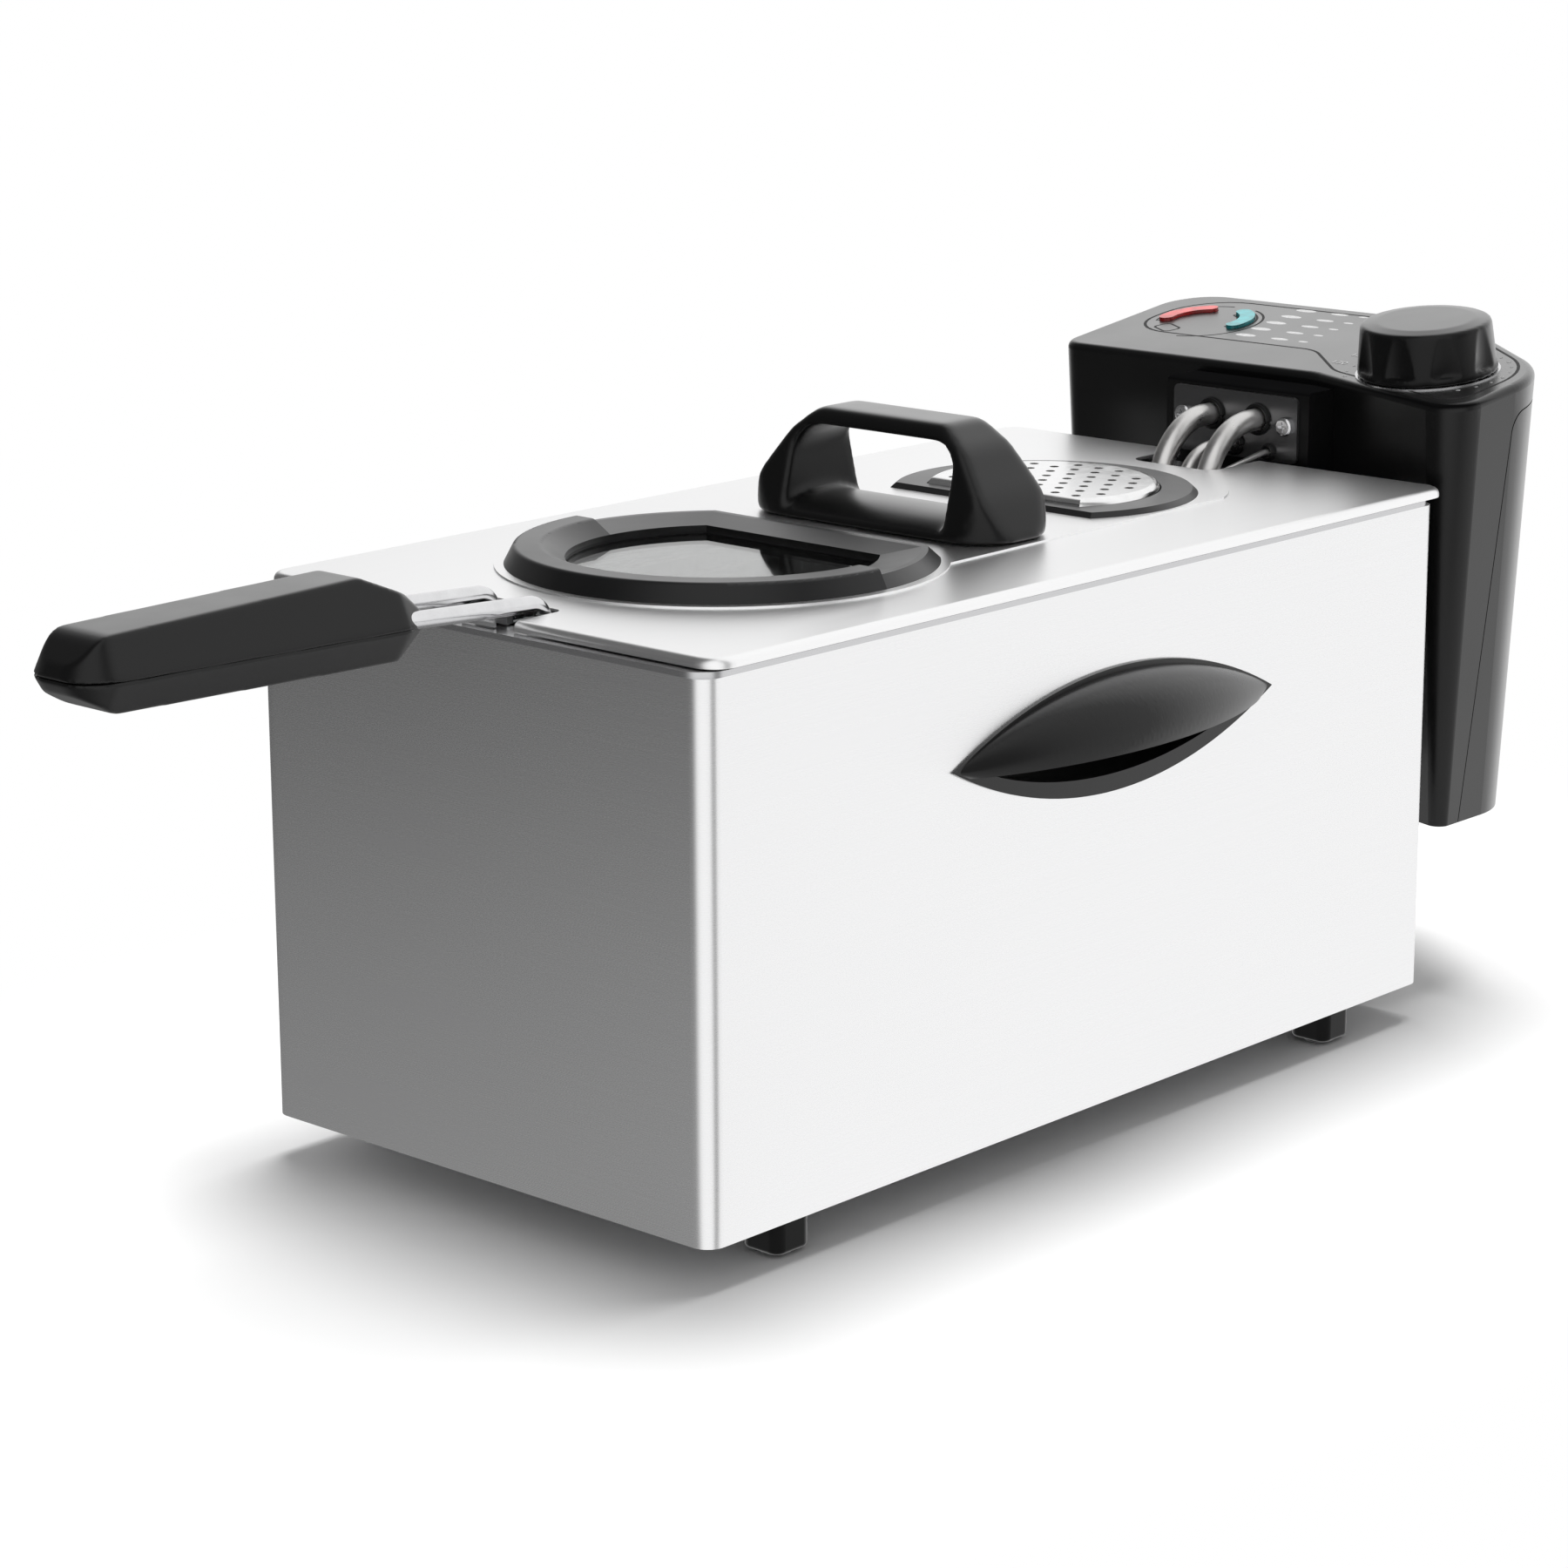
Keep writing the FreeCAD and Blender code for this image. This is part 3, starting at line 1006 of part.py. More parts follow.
def basket():
    """Frying basket: leaning wall and floor with rows of openings, rim wire and handle bracket."""
    middle = "(basket_back - basket_front)/2"
    long_side = "(basket_back + basket_front)"
    wall = body("basket_wall")

    def ring(owner, level, lean, *insets):
        plan = sketch(owner, lift=level)
        for inset in insets:
            take = f"(2*{lean}*basket_draft + 2*{inset})"
            rectangle(plan, f"2*basket_half - {take}", f"{long_side} - {take}",
                      f"basket_corner - {inset}", y=middle)
        return plan

    def opening(target, x, y, wide, tall):
        left, right = x - wide / 2, x + wide / 2
        outline(target, [(left, y), (right, y), (right, y + tall), (left, y + tall)])

    lower = ring(wall, "basket_low", "1", "0", "basket_wall")
    upper = ring(wall, "basket_high", "0", "0", "basket_wall")
    loft(wall, [lower, upper])
    pitch, gap, tall, rows = mm("mesh_pitch"), mm("mesh_gap"), mm("mesh_tall"), mm("mesh_rows")
    low = mm("basket_low + mesh_foot")
    for role, columns, centre in (("XZ_Plane", WALL_ACROSS, 0), ("YZ_Plane", WALL_ALONG, mm(middle))):
        openings = sketch(wall, role)
        for column in range(columns):
            x = centre + (column - (columns - 1) / 2) * pitch
            opening(openings, x, low, gap, tall)
            opening(openings, x, low + rows, gap, tall)
        pocket(wall, openings, middle=True)

    floor = body("basket_floor")
    plan = ring(floor, "basket_low - basket_wall", "1", "0")
    for column in range(FLOOR_ACROSS):
        x = (column - (FLOOR_ACROSS - 1) / 2) * pitch
        for line in range(FLOOR_ALONG):
            y = mm(middle) + (line - (FLOOR_ALONG - 1) / 2) * pitch
            opening(plan, x, y - gap / 2, gap, gap)
    pad(floor, plan, "basket_wall")

    rim = body("basket_rim")
    spine = ring(rim, "basket_high + rim_wire", "0", "0")
    section = sketch(rim, "XZ_Plane", "-(" + middle + ")")
    circle(section, "rim_wire", mm("basket_half"), mm("basket_high + rim_wire"))
    feature(rim, "AdditivePipe", section, Spine=(spine, [f"Edge{i}" for i in range(1, 9)]))

    bracket = body("basket_bracket", y="-wire_leg_y")
    plate = sketch(bracket, lift="wire_low - bracket_floor")
    half = mm("bracket_half")
    far = mm("wire_leg_y - basket_front - bracket_gap")
    near = far - mm("bracket_thick")
    outline(plate, [(-half, near), (half, near), (half, far), (-half, far)])
    pad(bracket, plate, "basket_high - wire_low + bracket_floor")
    for turn in (-1, 1):
        sleeve = sketch(bracket, lift="wire_low - bracket_floor")
        pad(bracket, circle(sleeve, "sleeve_radius", turn * mm("wire_x")), "basket_high - wire_low")
    bores = sketch(bracket, lift="basket_high")
    for turn in (-1, 1):
        circle(bores, "wire_radius + sleeve_play", turn * mm("wire_x"))
    pocket(bracket, bores, "basket_high - wire_low")


def basket_grip():
    """Handle wires and the two-part grip that closes over their looped end."""
    side, leg, end_y = mm("wire_x"), -mm("wire_leg_y"), -mm("wire_end_y")
    low, level = mm("wire_low"), mm("wire_z")
    slope = math.tan(math.radians(mm("wire_tilt")))
    run = [(leg, low), (leg, level), (end_y, level + (leg - end_y) * slope)]
    points = [(-side, y, z) for y, z in run] + [(side, y, z) for y, z in reversed(run)]
    bend, end_bend = mm("wire_bend"), mm("wire_end_bend")
    tube("handle_wires", points, [bend, end_bend, end_bend, bend], "wire_radius")

    half, length, near, far = mm("grip_half"), mm("grip_length"), mm("grip_near"), mm("grip_far")
    start, end = near, -length - near
    tail, tail_rise, tail_round = -mm("grip_tail"), mm("grip_tail_rise"), mm("grip_tail_round")
    drop, under = mm("grip_tail_drop"), -mm("grip_under")
    under_tail, toe = -mm("grip_under_tail"), mm("grip_toe")
    top = [(start, mm("grip_front_rise - grip_near*grip_front_fall")),
           (-mm("grip_hump"), mm("grip_hump_rise"), mm("grip_hump_round")),
           (tail, tail_rise, tail_round), (tail - drop, tail_rise - drop), (end, tail_rise - drop),
           (end, length), (start, length)]
    bottom = [(start, under), (under_tail, under, tail_round), (under_tail - toe, -1), (end, -1),
              (end, -length), (start, -length)]
    entry = level + (mm("grip_y") + leg) * slope - mm("grip_z")
    halves = (("grip_upper", 1, "grip_lean", "grip_block", top, "grip_tail_rise - grip_skin"),
              ("grip_lower", -1, "grip_under_lean", "grip_under_block", bottom, "grip_under - grip_skin"))
    for label, sense, lean, block_height, waste, hollow in halves:
        shell = body(label, y="-grip_y", z="grip_z", tilt=-mm("grip_tilt"))
        plan = sketch(shell)
        outline(plan, [(-half, -length, far), (half, -length, far), (half, 0, near), (-half, 0, near)])
        block = pad(shell, plan, block_height, reverse=sense < 0)
        drafted(shell, block, lean, 0)
        pocket(shell, outline(sketch(shell, "YZ_Plane"), waste), middle=True)

        nest, corner = -mm("grip_nest"), mm("grip_inner_round")
        inside = sketch(shell)
        thin, back, front = half - mm("grip_side"), mm("grip_end") - length, nest - mm("grip_web")
        outline(inside, [(-thin, back, corner), (thin, back, corner), (thin, front, corner),
                         (-thin, front, corner)])
        pocket(shell, inside, hollow, reverse=sense > 0)
        bed = sketch(shell)
        reach, bed_round = side + mm("wire_radius + wire_play"), mm("grip_bed_round")
        outline(bed, [(-reach, nest, bed_round), (reach, nest, bed_round), (reach, -near),
                      (-reach, -near)])
        room = mm("wire_radius") + mm("grip_bed_room" if sense > 0 else "wire_play")
        pocket(shell, bed, str(sense * entry + room), reverse=sense > 0)
        ways = sketch(shell, "XZ_Plane")
        for turn in (-1, 1):
            circle(ways, "wire_radius + 2*wire_play", turn * side, entry)
        pocket(shell, ways, "grip_near + 1", reverse=True)


def box_outline(target, inset):
    """Plan of the control unit: level left front, nose on the right, rounded and slanted right back."""
    half, front, nose = mm("box_half") - inset, mm("box_front") + inset, mm("box_nose") + inset
    rear = mm("box_back") - inset
    return outline(target, [
        (-half, front, mm("box_left_round")),
        (mm("box_kink"), front, mm("box_kink_round")),
        (half, nose, mm("box_nose_round")),
        (half, mm("box_bend") - inset / 2, mm("box_bend_round")),
        (mm("box_heel"), rear, mm("box_heel_round")),
        (-half, rear, mm("box_back_round"))])


def above_panel(target, drop):
    """Everything above the tilted panel plane, lowered by a drop; drawn in the y-z plane."""
    slope = math.tan(math.radians(mm("panel_tilt")))
    y, z = mm("box_front"), mm("panel_z") - drop
    ahead, behind = mm("box_half"), 2 * mm("box_half")
    return outline(target, [(y - ahead, z - ahead * slope), (y + behind, z + behind * slope),
                            (y + behind, z + behind), (y - ahead, z + behind)])


def insert_outline(target, spare=0):
    """Grey insert on the panel: rounded left end, step forward round the knob, rounded right back."""
    left, right = -mm("insert_left") - spare, mm("insert_right") + spare
    front, back = mm("insert_front") - spare, mm("insert_back") + spare
    return outline(target, [
        (left, front, mm("insert_left_round")),
        (mm("insert_step_x"), front, mm("insert_step_round")),
        (mm("insert_nose_x"), mm("insert_nose_v") - spare, mm("insert_nose_round")),
        (right, mm("insert_tip_v") - spare, mm("insert_tip_round")),
        (right, mm("insert_bend_v"), mm("insert_bend_round")),
        (mm("insert_heel_x"), back, mm("insert_heel_round")),
        (left, back, mm("insert_back_round"))])


def lamp_outline(target, side, spare=0):
    """Curved lamp on the left or right of the lamp circle."""
    x, y, radius = mm("lamp_x"), mm("lamp_v"), mm("lamp_radius")
    outer, inner = radius + mm("lamp_half") + spare, radius - mm("lamp_half") - spare
    turn, sweep = math.radians(mm("lamp_turn")), math.radians(mm("lamp_sweep"))
    first, last = turn - sweep, turn + sweep
    cap = (mm("lamp_half") + spare) / radius

    def spot(reach, angle):
        return (x + side * reach * math.cos(angle), y + reach * math.sin(angle))

    return loop(target, (spot(outer, first), spot(outer, turn), spot(outer, last)),
                (spot(outer, last), spot(radius, last + cap), spot(inner, last)),
                (spot(inner, last), spot(inner, turn), spot(inner, first)),
                (spot(inner, first), spot(radius, first - cap), spot(outer, first)))


def on_panel(label):
    """Body whose own frame lies on the panel, its y running up the slope."""
    return body(label, y="box_front", z="panel_z", tilt=mm("panel_tilt"))


def tilted(owner, lift="0"):
    """Sketch parallel to the panel in a body that stands upright."""
    fresh = sketch(owner)
    spot = Vector(0, mm("box_front"), mm("panel_z"))
    fresh.AttachmentOffset = Placement(spot, Rotation(ALONG_X, mm("panel_tilt")))
    bind(fresh, "AttachmentOffset.Base.y", "box_front")
    bind(fresh, "AttachmentOffset.Base.z", f"panel_z + {lift}")
    return fresh


def control_box():
    """Moulded control unit: leaning walls, tilted panel, neck for the element, separate rear cover."""
    outer = body("control_block", keep=False)
    block = pad(outer, box_outline(sketch(outer, lift="box_low"), 0), "box_high - box_low")
    drafted(outer, block, "box_lean", mm("box_high"))
    top_cut = pocket(outer, above_panel(sketch(outer, "YZ_Plane"), 0), middle=True)
    slope = math.tan(math.radians(mm("panel_tilt")))

    def on_rim(edge):
        spots = [vertex.Point for vertex in edge.Vertexes]
        heights = [mm("panel_z") + (spot.y - mm("box_front")) * slope for spot in spots]
        return all(abs(spot.z - height) < 1e-3 for spot, height in zip(spots, heights))

    fillet(outer, top_cut, "panel_round", on_rim)
    neck = sketch(outer, "YZ_Plane")
    back, low, high = mm("box_front + neck_overlap"), mm("neck_low"), mm("neck_high")
    front, step, front_high = mm("neck_front"), mm("neck_step"), mm("neck_y")
    corner = mm("neck_round")
    outline(neck, [(front, low, corner), (back, low), (back, high), (front_high, high, corner),
                   (front_high, step), (front, step, corner)])
    pad(outer, neck, "2*neck_half", middle=True)
    pocket(outer, insert_outline(tilted(outer), mm("insert_gap")), "insert_thick")

    hollow = body("control_hollow", keep=False)
    plan = box_outline(sketch(hollow, lift="box_low + box_wall"), mm("box_wall"))
    core = pad(hollow, plan, "box_high - box_low - box_wall")
    drafted(hollow, core, "box_lean", mm("box_high"))
    pocket(hollow, above_panel(sketch(hollow, "YZ_Plane"), mm("insert_thick + box_wall")), middle=True)
    thick, inside = mm("neck_wall"), back + mm("box_draft")
    for floor, ceiling, face in ((low, step, front), (step, high, front_high)):
        way = sketch(hollow, "YZ_Plane")
        outline(way, [(face + thick, floor + thick), (inside, floor + thick), (inside, ceiling - thick),
                      (face + thick, ceiling - thick)])
        pad(hollow, way, "2*neck_half - 2*neck_wall", middle=True)

    shell = doc.addObject("Part::Cut", "control_shell")
    shell.Base = outer
    shell.Tool = hollow
    holes = body("control_holes", keep=False)
    front_holes = sketch(holes, "XZ_Plane", "-neck_y + neck_wall")
    element_holes(front_holes, "fit_gap")
    pad(holes, front_holes, "3*neck_wall", reverse=True)
    spindle = tilted(holes, "spindle_radius")
    circle(spindle, "spindle_radius + spindle_room", mm("dial_x"), mm("dial_v"))
    pad(holes, spindle, "stat_drop", reverse=True)
    drilled = doc.addObject("Part::Cut", "control_drilled")
    drilled.Base = shell
    drilled.Tool = holes

    def seam(label, gap):
        block = body(label, keep=False)
        region = sketch(block, "YZ_Plane")
        middle_y = mm("seam_skew * box_half") + gap
        y_low, y_high = mm("seam_low_y") + middle_y, mm("seam_high_y") + middle_y
        corner_z = mm("panel_z - seam_drop") + (mm("seam_high_y") - mm("box_front")) * slope - gap
        lean = (y_high - y_low) / (mm("panel_z") - mm("box_low"))
        below, far = mm("box_draft"), mm("box_back + 2*box_draft")
        base = mm("box_low") - below
        outline(region, [(y_low - below * lean, base), (far, base),
                         (far, corner_z + (far - y_high) * slope), (y_high, corner_z, mm("seam_round"))])
        slanted = pad(block, region, "3*box_half", middle=True)
        slanted.UseCustomVector = True
        slanted.Direction = Vector(1, -mm("seam_skew"), 0)
        doc.recompute()
        return block

    housing_front = doc.addObject("Part::Cut", "control_housing")
    housing_front.Base = drilled
    housing_front.Tool = seam("seam_cut", 0)
    rear = doc.addObject("Part::Common", "rear_skin")
    rear.Base = drilled
    rear.Tool = seam("seam_keep", mm("seam_gap"))
    back_holes = body("cover_holes", keep=False)
    bores = sketch(back_holes, "XZ_Plane", "-box_bend")
    circle(bores, "reset_radius + reset_gap", mm("reset_x"), mm("reset_z"))
    circle(bores, "gland_radius", mm("gland_x"), mm("gland_z"))
    for x, z in COVER_SCREWS:
        circle(bores, "hole_radius", x, z)
    pad(back_holes, bores, "box_half", reverse=True)
    cover = doc.addObject("Part::Cut", "rear_cover")
    cover.Base = rear
    cover.Tool = back_holes
    for part in (housing_front, cover):
        bind(part, "Placement.Base.y", "0")
        NODES.append(part)


def element_holes(target, spare):
    """Holes for the element tubes, the sensor tube and the capillary, seen from the front."""
    for turn in (-1, 1):
        circle(target, f"tube_radius + {spare}", turn * mm("tube_x"), mm("tube_z"))
    circle(target, f"sensor_radius + {spare}", 0, mm("sensor_z"))
    circle(target, f"capillary_radius + {spare}", mm("capillary_x"), mm("capillary_z"))
    return target


def panel_parts():
    """Grey insert, lamps, knob ring and the knob with its finger flutes."""
    insert = on_panel("panel_insert")
    plan = insert_outline(sketch(insert, lift="-insert_thick"))
    for side in (-1, 1):
        lamp_outline(plan, side, mm("lamp_gap"))
    circle(plan, "spindle_radius + spindle_room", mm("dial_x"), mm("dial_v"))
    pad(insert, plan, "insert_thick")
    for label, side in (("lamp_red", -1), ("lamp_green", 1)):
        lens = on_panel(label)
        pad(lens, lamp_outline(sketch(lens, lift="-insert_thick"), side), "insert_thick + lamp_rise")

    ring = on_panel("knob_ring")
    band = sketch(ring)
    circle(band, "dial_ring", mm("dial_x"), mm("dial_v"))
    circle(band, "dial_ring - dial_ring_width", mm("dial_x"), mm("dial_v"))
    pad(ring, band, "dial_ring_thick")

    knob = on_panel("control_knob")
    bind(knob, "Placement.Base.x", "dial_x")
    tilt = math.radians(mm("panel_tilt"))
    bind(knob, "Placement.Base.y", f"origin_shift + box_front + dial_v*{math.cos(tilt):.6f}")
    bind(knob, "Placement.Base.z", f"panel_z + dial_v*{math.sin(tilt):.6f}")
    radius, rise, lift = mm("dial_radius"), mm("dial_rise"), mm("dial_lift")
    bore, roof = mm("spindle_radius + spindle_gap"), mm("dial_rise - dial_roof")
    skirt, rim = lift + mm("dial_skirt"), radius - mm("dial_taper")
    crown = rise - mm("dial_crown")
    edge, flat_top = mm("dial_edge"), radius - mm("dial_bevel")
    side = sketch(knob, "XZ_Plane")
    outline(side, [(bore, lift), (radius, lift), (radius, skirt), (rim, crown, edge), (flat_top, rise),
                   (0, rise), (0, roof), (bore, roof)])
    turned(knob, side)
    flute = sketch(knob, lift="dial_rise + dial_skirt")
    circle(flute, "flute_radius", mm("flute_reach"), 0)
    cut = pocket(knob, flute, "dial_rise - 2*dial_lift")
    flutes = knob.newObject("PartDesign::PolarPattern", "control_knob_flutes")
    flutes.Originals = [cut]
    flutes.Axis = (flute, ["N_Axis"])
    flutes.Angle = 360
    flutes.Occurrences = 9
    knob.Tip = flutes


def element_parts():
    """Element plate with its screws, heating loop, sensor tube and safety capillary."""
    plate = body("element_plate")
    face = sketch(plate, "XZ_Plane", "-neck_y")
    rectangle(face, "2*eplate_half", "eplate_high - eplate_low", "eplate_round",
              y="(eplate_high + eplate_low)/2")
    element_holes(face, "eplate_play")
    screws = [(turn * mm("eplate_screw_x"), mm("eplate_screw_z")) for turn in (-1, 1)]
    for x, z in screws:
        circle(face, "hole_radius", x, z)
    pad(plate, face, "eplate_thick")
    front = mm("neck_y - eplate_thick")
    group("element_screws", [screw((x, front, z), (0, 1, 0), mm("eplate_thick")) for x, z in screws])

    side, level, rear = mm("tube_x"), mm("tube_z"), mm("neck_y + tube_tail")
    drop, coil_z, spread = mm("tube_drop_y"), mm("coil_z"), mm("coil_spread")
    half, coil_back, coil_front = mm("coil_half"), mm("coil_back"), -mm("coil_front")
    run = [(-side, rear, level), (-side, drop, level), (-side, drop, coil_z),
           (-side, drop - spread, coil_z), (-half, coil_back, coil_z), (-half, coil_front, coil_z)]
    mirrored = [(-x, y, z) for x, y, z in reversed(run)]
    ease = mm("coil_ease")
    bends = [mm("tube_bend"), mm("coil_bend"), ease, ease, mm("coil_end_bend")]
    tube("heating_element", run + mirrored, bends + bends[::-1], "tube_radius")

    sensor_z, sensor_low, sensor_bend = mm("sensor_z"), mm("sensor_low"), mm("sensor_bend")
    tube("sensor_tube", [(0, rear, sensor_z), (0, drop, sensor_z), (0, drop, sensor_low),
                         (0, mm("sensor_end"), sensor_low)], [sensor_bend, ease], "sensor_radius")
    x, z, dip = mm("capillary_x"), mm("capillary_z"), mm("capillary_dip")
    bend, y = mm("capillary_bend"), drop + 1
    tube("safety_capillary", [(x, rear, z), (x, y + mm("capillary_run"), z), (x, y, z - dip),
                              (x, y, mm("capillary_low"))], [bend, bend], "capillary_radius")


def inner_parts():
    """What the closed control unit holds: thermostat, cut-out, switch, terminals and lamp bulbs."""
    def block(target, x, y, half, deep, corner):
        return outline(target, [(x - half, y - deep, corner), (x + half, y - deep, corner),
                                (x + half, y + deep, corner), (x - half, y + deep, corner)])

    stat = on_panel("thermostat")
    x, v = mm("dial_x"), mm("dial_v")
    case = block(sketch(stat, lift="-stat_drop"), x, v, mm("stat_half"), mm("stat_deep"), mm("stat_round"))
    pad(stat, case, "stat_tall", reverse=True)
    collar = circle(sketch(stat, lift="-stat_drop"), "2*spindle_radius", x, v)
    pad(stat, collar, "stat_drop/2")
    shaft = circle(sketch(stat, lift="-stat_drop"), "spindle_radius", x, v)
    pad(stat, shaft, "stat_drop + dial_rise - dial_roof - dial_lift")

    bulbs = []
    radius, tall = mm("bulb_radius"), mm("bulb_tall")
    spot = Vector(0, mm("box_front"), mm("panel_z"))
    for side in (-1, 1):
        foot = Vector(mm("lamp_x") + side * mm("lamp_radius"), mm("lamp_v"), -mm("bulb_drop"))
        tip = foot + UP * tall
        bulb = Part.makeCylinder(radius, tall, foot).fuse(Part.makeSphere(radius, tip)).removeSplitter()
        bulb.Placement = Placement(spot, Rotation(ALONG_X, mm("panel_tilt")))
        bulbs.append(bulb)
    group("lamp_bulbs", bulbs)

    cutout = body("safety_cutout", x="reset_x", y="box_back - cutout_back", z="reset_z")
    length, radius = mm("cutout_length"), mm("cutout_radius")
    neck, step = mm("cutout_neck"), mm("cutout_step")
    profile = sketch(cutout, "YZ_Plane")
    outline(profile, [(-length, 0), (0, 0), (0, neck), (-step, neck), (-step, radius), (-length, radius)])
    turned(cutout, profile, "H_Axis")
    ears = block(sketch(cutout, "XZ_Plane"), 0, 0, mm("ear_half"), mm("ear_rise"), mm("ear_round"))
    pad(cutout, ears, "ear_thick")

    switch = body("interlock_switch", y="neck_front + neck_wall", z="switch_z")
    deep = mm("switch_deep/2")
    case = block(sketch(switch), 0, deep + mm("lever_thick"), mm("switch_half"), deep, mm("switch_round"))
    pad(switch, case, "switch_tall")
    lever = sketch(switch, "XZ_Plane", "-lever_thick")
    block(lever, -mm("switch_half/2"), mm("switch_tall/2"), mm("lever_half"), mm("lever_half"), 0)
    pad(switch, lever, "lever_thick - lever_gap")

    terminals = body("terminal_block", x="terminal_x", y="box_back - terminal_back",
                     z="box_low + box_wall + terminal_gap")
    half, deep = mm("terminal_half"), mm("terminal_deep")
    pad(terminals, block(sketch(terminals), 0, 0, half, deep, mm("terminal_round")), "terminal_tall")
    for turn in (-1, 0, 1):
        port = sketch(terminals, lift="terminal_tall")
        circle(port, "port_radius", turn * mm("port_pitch"), 0)
        pocket(terminals, port, "port_depth")


def back_parts():
    """Reset button, cord gland and cover screws on the rear cover."""
    lean = mm("box_draft") / mm("box_high - box_low")

    def back_at(z):
        return mm("box_back") - (mm("box_high") - z) * lean

    reset = body("reset_button", x="reset_x", y="box_back", z="reset_z")
    out = back_at(mm("reset_z")) - mm("box_back")
    radius, collar = mm("reset_radius"), mm("reset_radius + reset_collar")
    pin, cap, tail = mm("reset_pin"), out + mm("reset_out"), out - mm("reset_length")
    seat = out - mm("reset_seat")
    heel = seat - mm("reset_collar_thick")
    profile = sketch(reset, "YZ_Plane")
    outline(profile, [(tail, 0), (cap, 0), (cap, radius, mm("reset_round")), (seat, radius),
                      (seat, collar), (heel, collar), (heel, pin), (tail, pin)])
    turned(reset, profile, "H_Axis")

    gland = body("cord_gland", x="gland_x", y="box_back", z="gland_z")
    out = back_at(mm("gland_z")) - mm("box_back")
    bore, neck = mm("cord_radius"), mm("gland_radius - gland_play")
    lip, edge = mm("gland_lip"), mm("gland_round")
    nose, face, inner = out + mm("gland_out"), out + mm("gland_gap"), out - mm("gland_wall")
    tail, barb = inner - mm("gland_barb"), mm("gland_radius + gland_barb")
    section = sketch(gland, "YZ_Plane")
    outline(section, [(tail, bore), (nose, bore), (nose, bore + lip, edge),
                      (face, mm("gland_radius") + lip, edge), (face, neck), (inner, neck),
                      (inner, barb), (tail, barb)])
    turned(gland, section, "H_Axis")
    shank, clear = mm("cover_shank"), mm("cover_gap")
    group("cover_screws", [screw((x, back_at(z) + clear, z), (0, -1, 0), shank) for x, z in COVER_SCREWS])


housing()
feet()
side_grips()
tank()
guide()
lid()
window()
steam_filter()
lid_handle()
basket()
basket_grip()
control_box()
panel_parts()
element_parts()
inner_parts()
back_parts()
doc.recompute()

CUTTING = ("PartDesign::Pocket", "PartDesign::Groove", "PartDesign::SubtractiveLoft")
for item in doc.Objects:
    if "Invalid" in item.State or "Error" in item.State:
        raise RuntimeError(f"{item.Name} did not build: {item.State}")
    if item.TypeId in CUTTING and item.Shape.Volume > item.BaseFeature.Shape.Volume - 0.01:
        raise RuntimeError(f"{item.Name} removes nothing")

os.makedirs("parts", exist_ok=True)
for item in NODES:
    if item.Shape.isNull() or not item.Shape.isValid() or not item.Shape.Solids:
        raise RuntimeError(f"{item.Label} has no sound solid")
    item.Shape.exportStep(os.path.join("parts", f"{item.Label}.step"))
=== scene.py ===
import math

import bmesh
import bpy
from bpy.props import FloatProperty, FloatVectorProperty, PointerProperty
from mathutils import Euler, Matrix, Vector


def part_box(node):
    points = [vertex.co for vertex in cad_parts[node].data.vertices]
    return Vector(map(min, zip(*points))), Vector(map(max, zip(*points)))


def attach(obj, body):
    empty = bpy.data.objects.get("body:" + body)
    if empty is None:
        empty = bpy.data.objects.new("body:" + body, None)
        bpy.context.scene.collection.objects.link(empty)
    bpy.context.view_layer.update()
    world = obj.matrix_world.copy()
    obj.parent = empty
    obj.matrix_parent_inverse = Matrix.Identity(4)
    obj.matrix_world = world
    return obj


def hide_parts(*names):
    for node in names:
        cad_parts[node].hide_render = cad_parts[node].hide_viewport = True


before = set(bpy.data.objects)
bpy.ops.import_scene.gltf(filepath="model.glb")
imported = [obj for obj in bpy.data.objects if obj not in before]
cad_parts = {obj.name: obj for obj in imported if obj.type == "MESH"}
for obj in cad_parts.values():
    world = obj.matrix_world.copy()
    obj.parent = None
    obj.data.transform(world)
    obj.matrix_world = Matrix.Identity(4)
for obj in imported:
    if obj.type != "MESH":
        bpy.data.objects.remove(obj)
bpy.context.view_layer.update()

bl_info = {
    "name": "Deep fryer dress",
    "version": (1, 0, 0),
    "blender": (4, 5, 0),
    "location": "3D View > Sidebar > Fryer",
    "description": "Finishes, wire work and panel marks of a deep fryer on its packed frame",
    "category": "Object",
}

# The panel's own frame: its front edge, height and fall, which match the solids
PANEL_FRONT = 0.21917
PANEL_Z = 0.2044
PANEL_TILT = math.radians(7.4)
# Insert in the panel: across, up the slope and the round of every corner
INSERT_CORNERS = (
    (-0.080, 0.026, 0.017), (0.002, 0.026, 0.014), (0.024, 0.006, 0.018), (0.084, -0.012, 0.008),
    (0.084, 0.033, 0.034), (0.030, 0.071, 0.050), (-0.080, 0.071, 0.022),
)
# Lamps: centre of their arcs on the panel, reach, half width, and the middle and sweep of each in degrees
LAMP_CENTRE = Vector((-0.0585, 0.044))
LAMP_REACH = 0.015
LAMP_HALF = 0.0034
LAMP_MIDDLES = (25, 155)
LAMP_SWEEP = 84
# Grooves in the panel, drawn as painted shade: widths and how far their dark lines stand up
INSERT_GROOVE = 0.0011
LAMP_GROOVE = 0.0009
GROOVE_RISE = 0.00008
# Grooves round both lamps: reach, and the start and end of each in degrees
LAMP_RING_REACH = 0.0206
LAMP_RING_ARCS = ((-82, 66), (96, 128))
# Groove of the small pad beside the lamps: its centre from theirs, its corners from that, and their round
PAD_OFFSET = Vector((-0.0075, -0.0125))
PAD_CORNERS = ((-0.0055, -0.0005), (0.003, -0.005), (0.0055, 0.001), (-0.003, 0.0055))
PAD_ROUND = 0.002
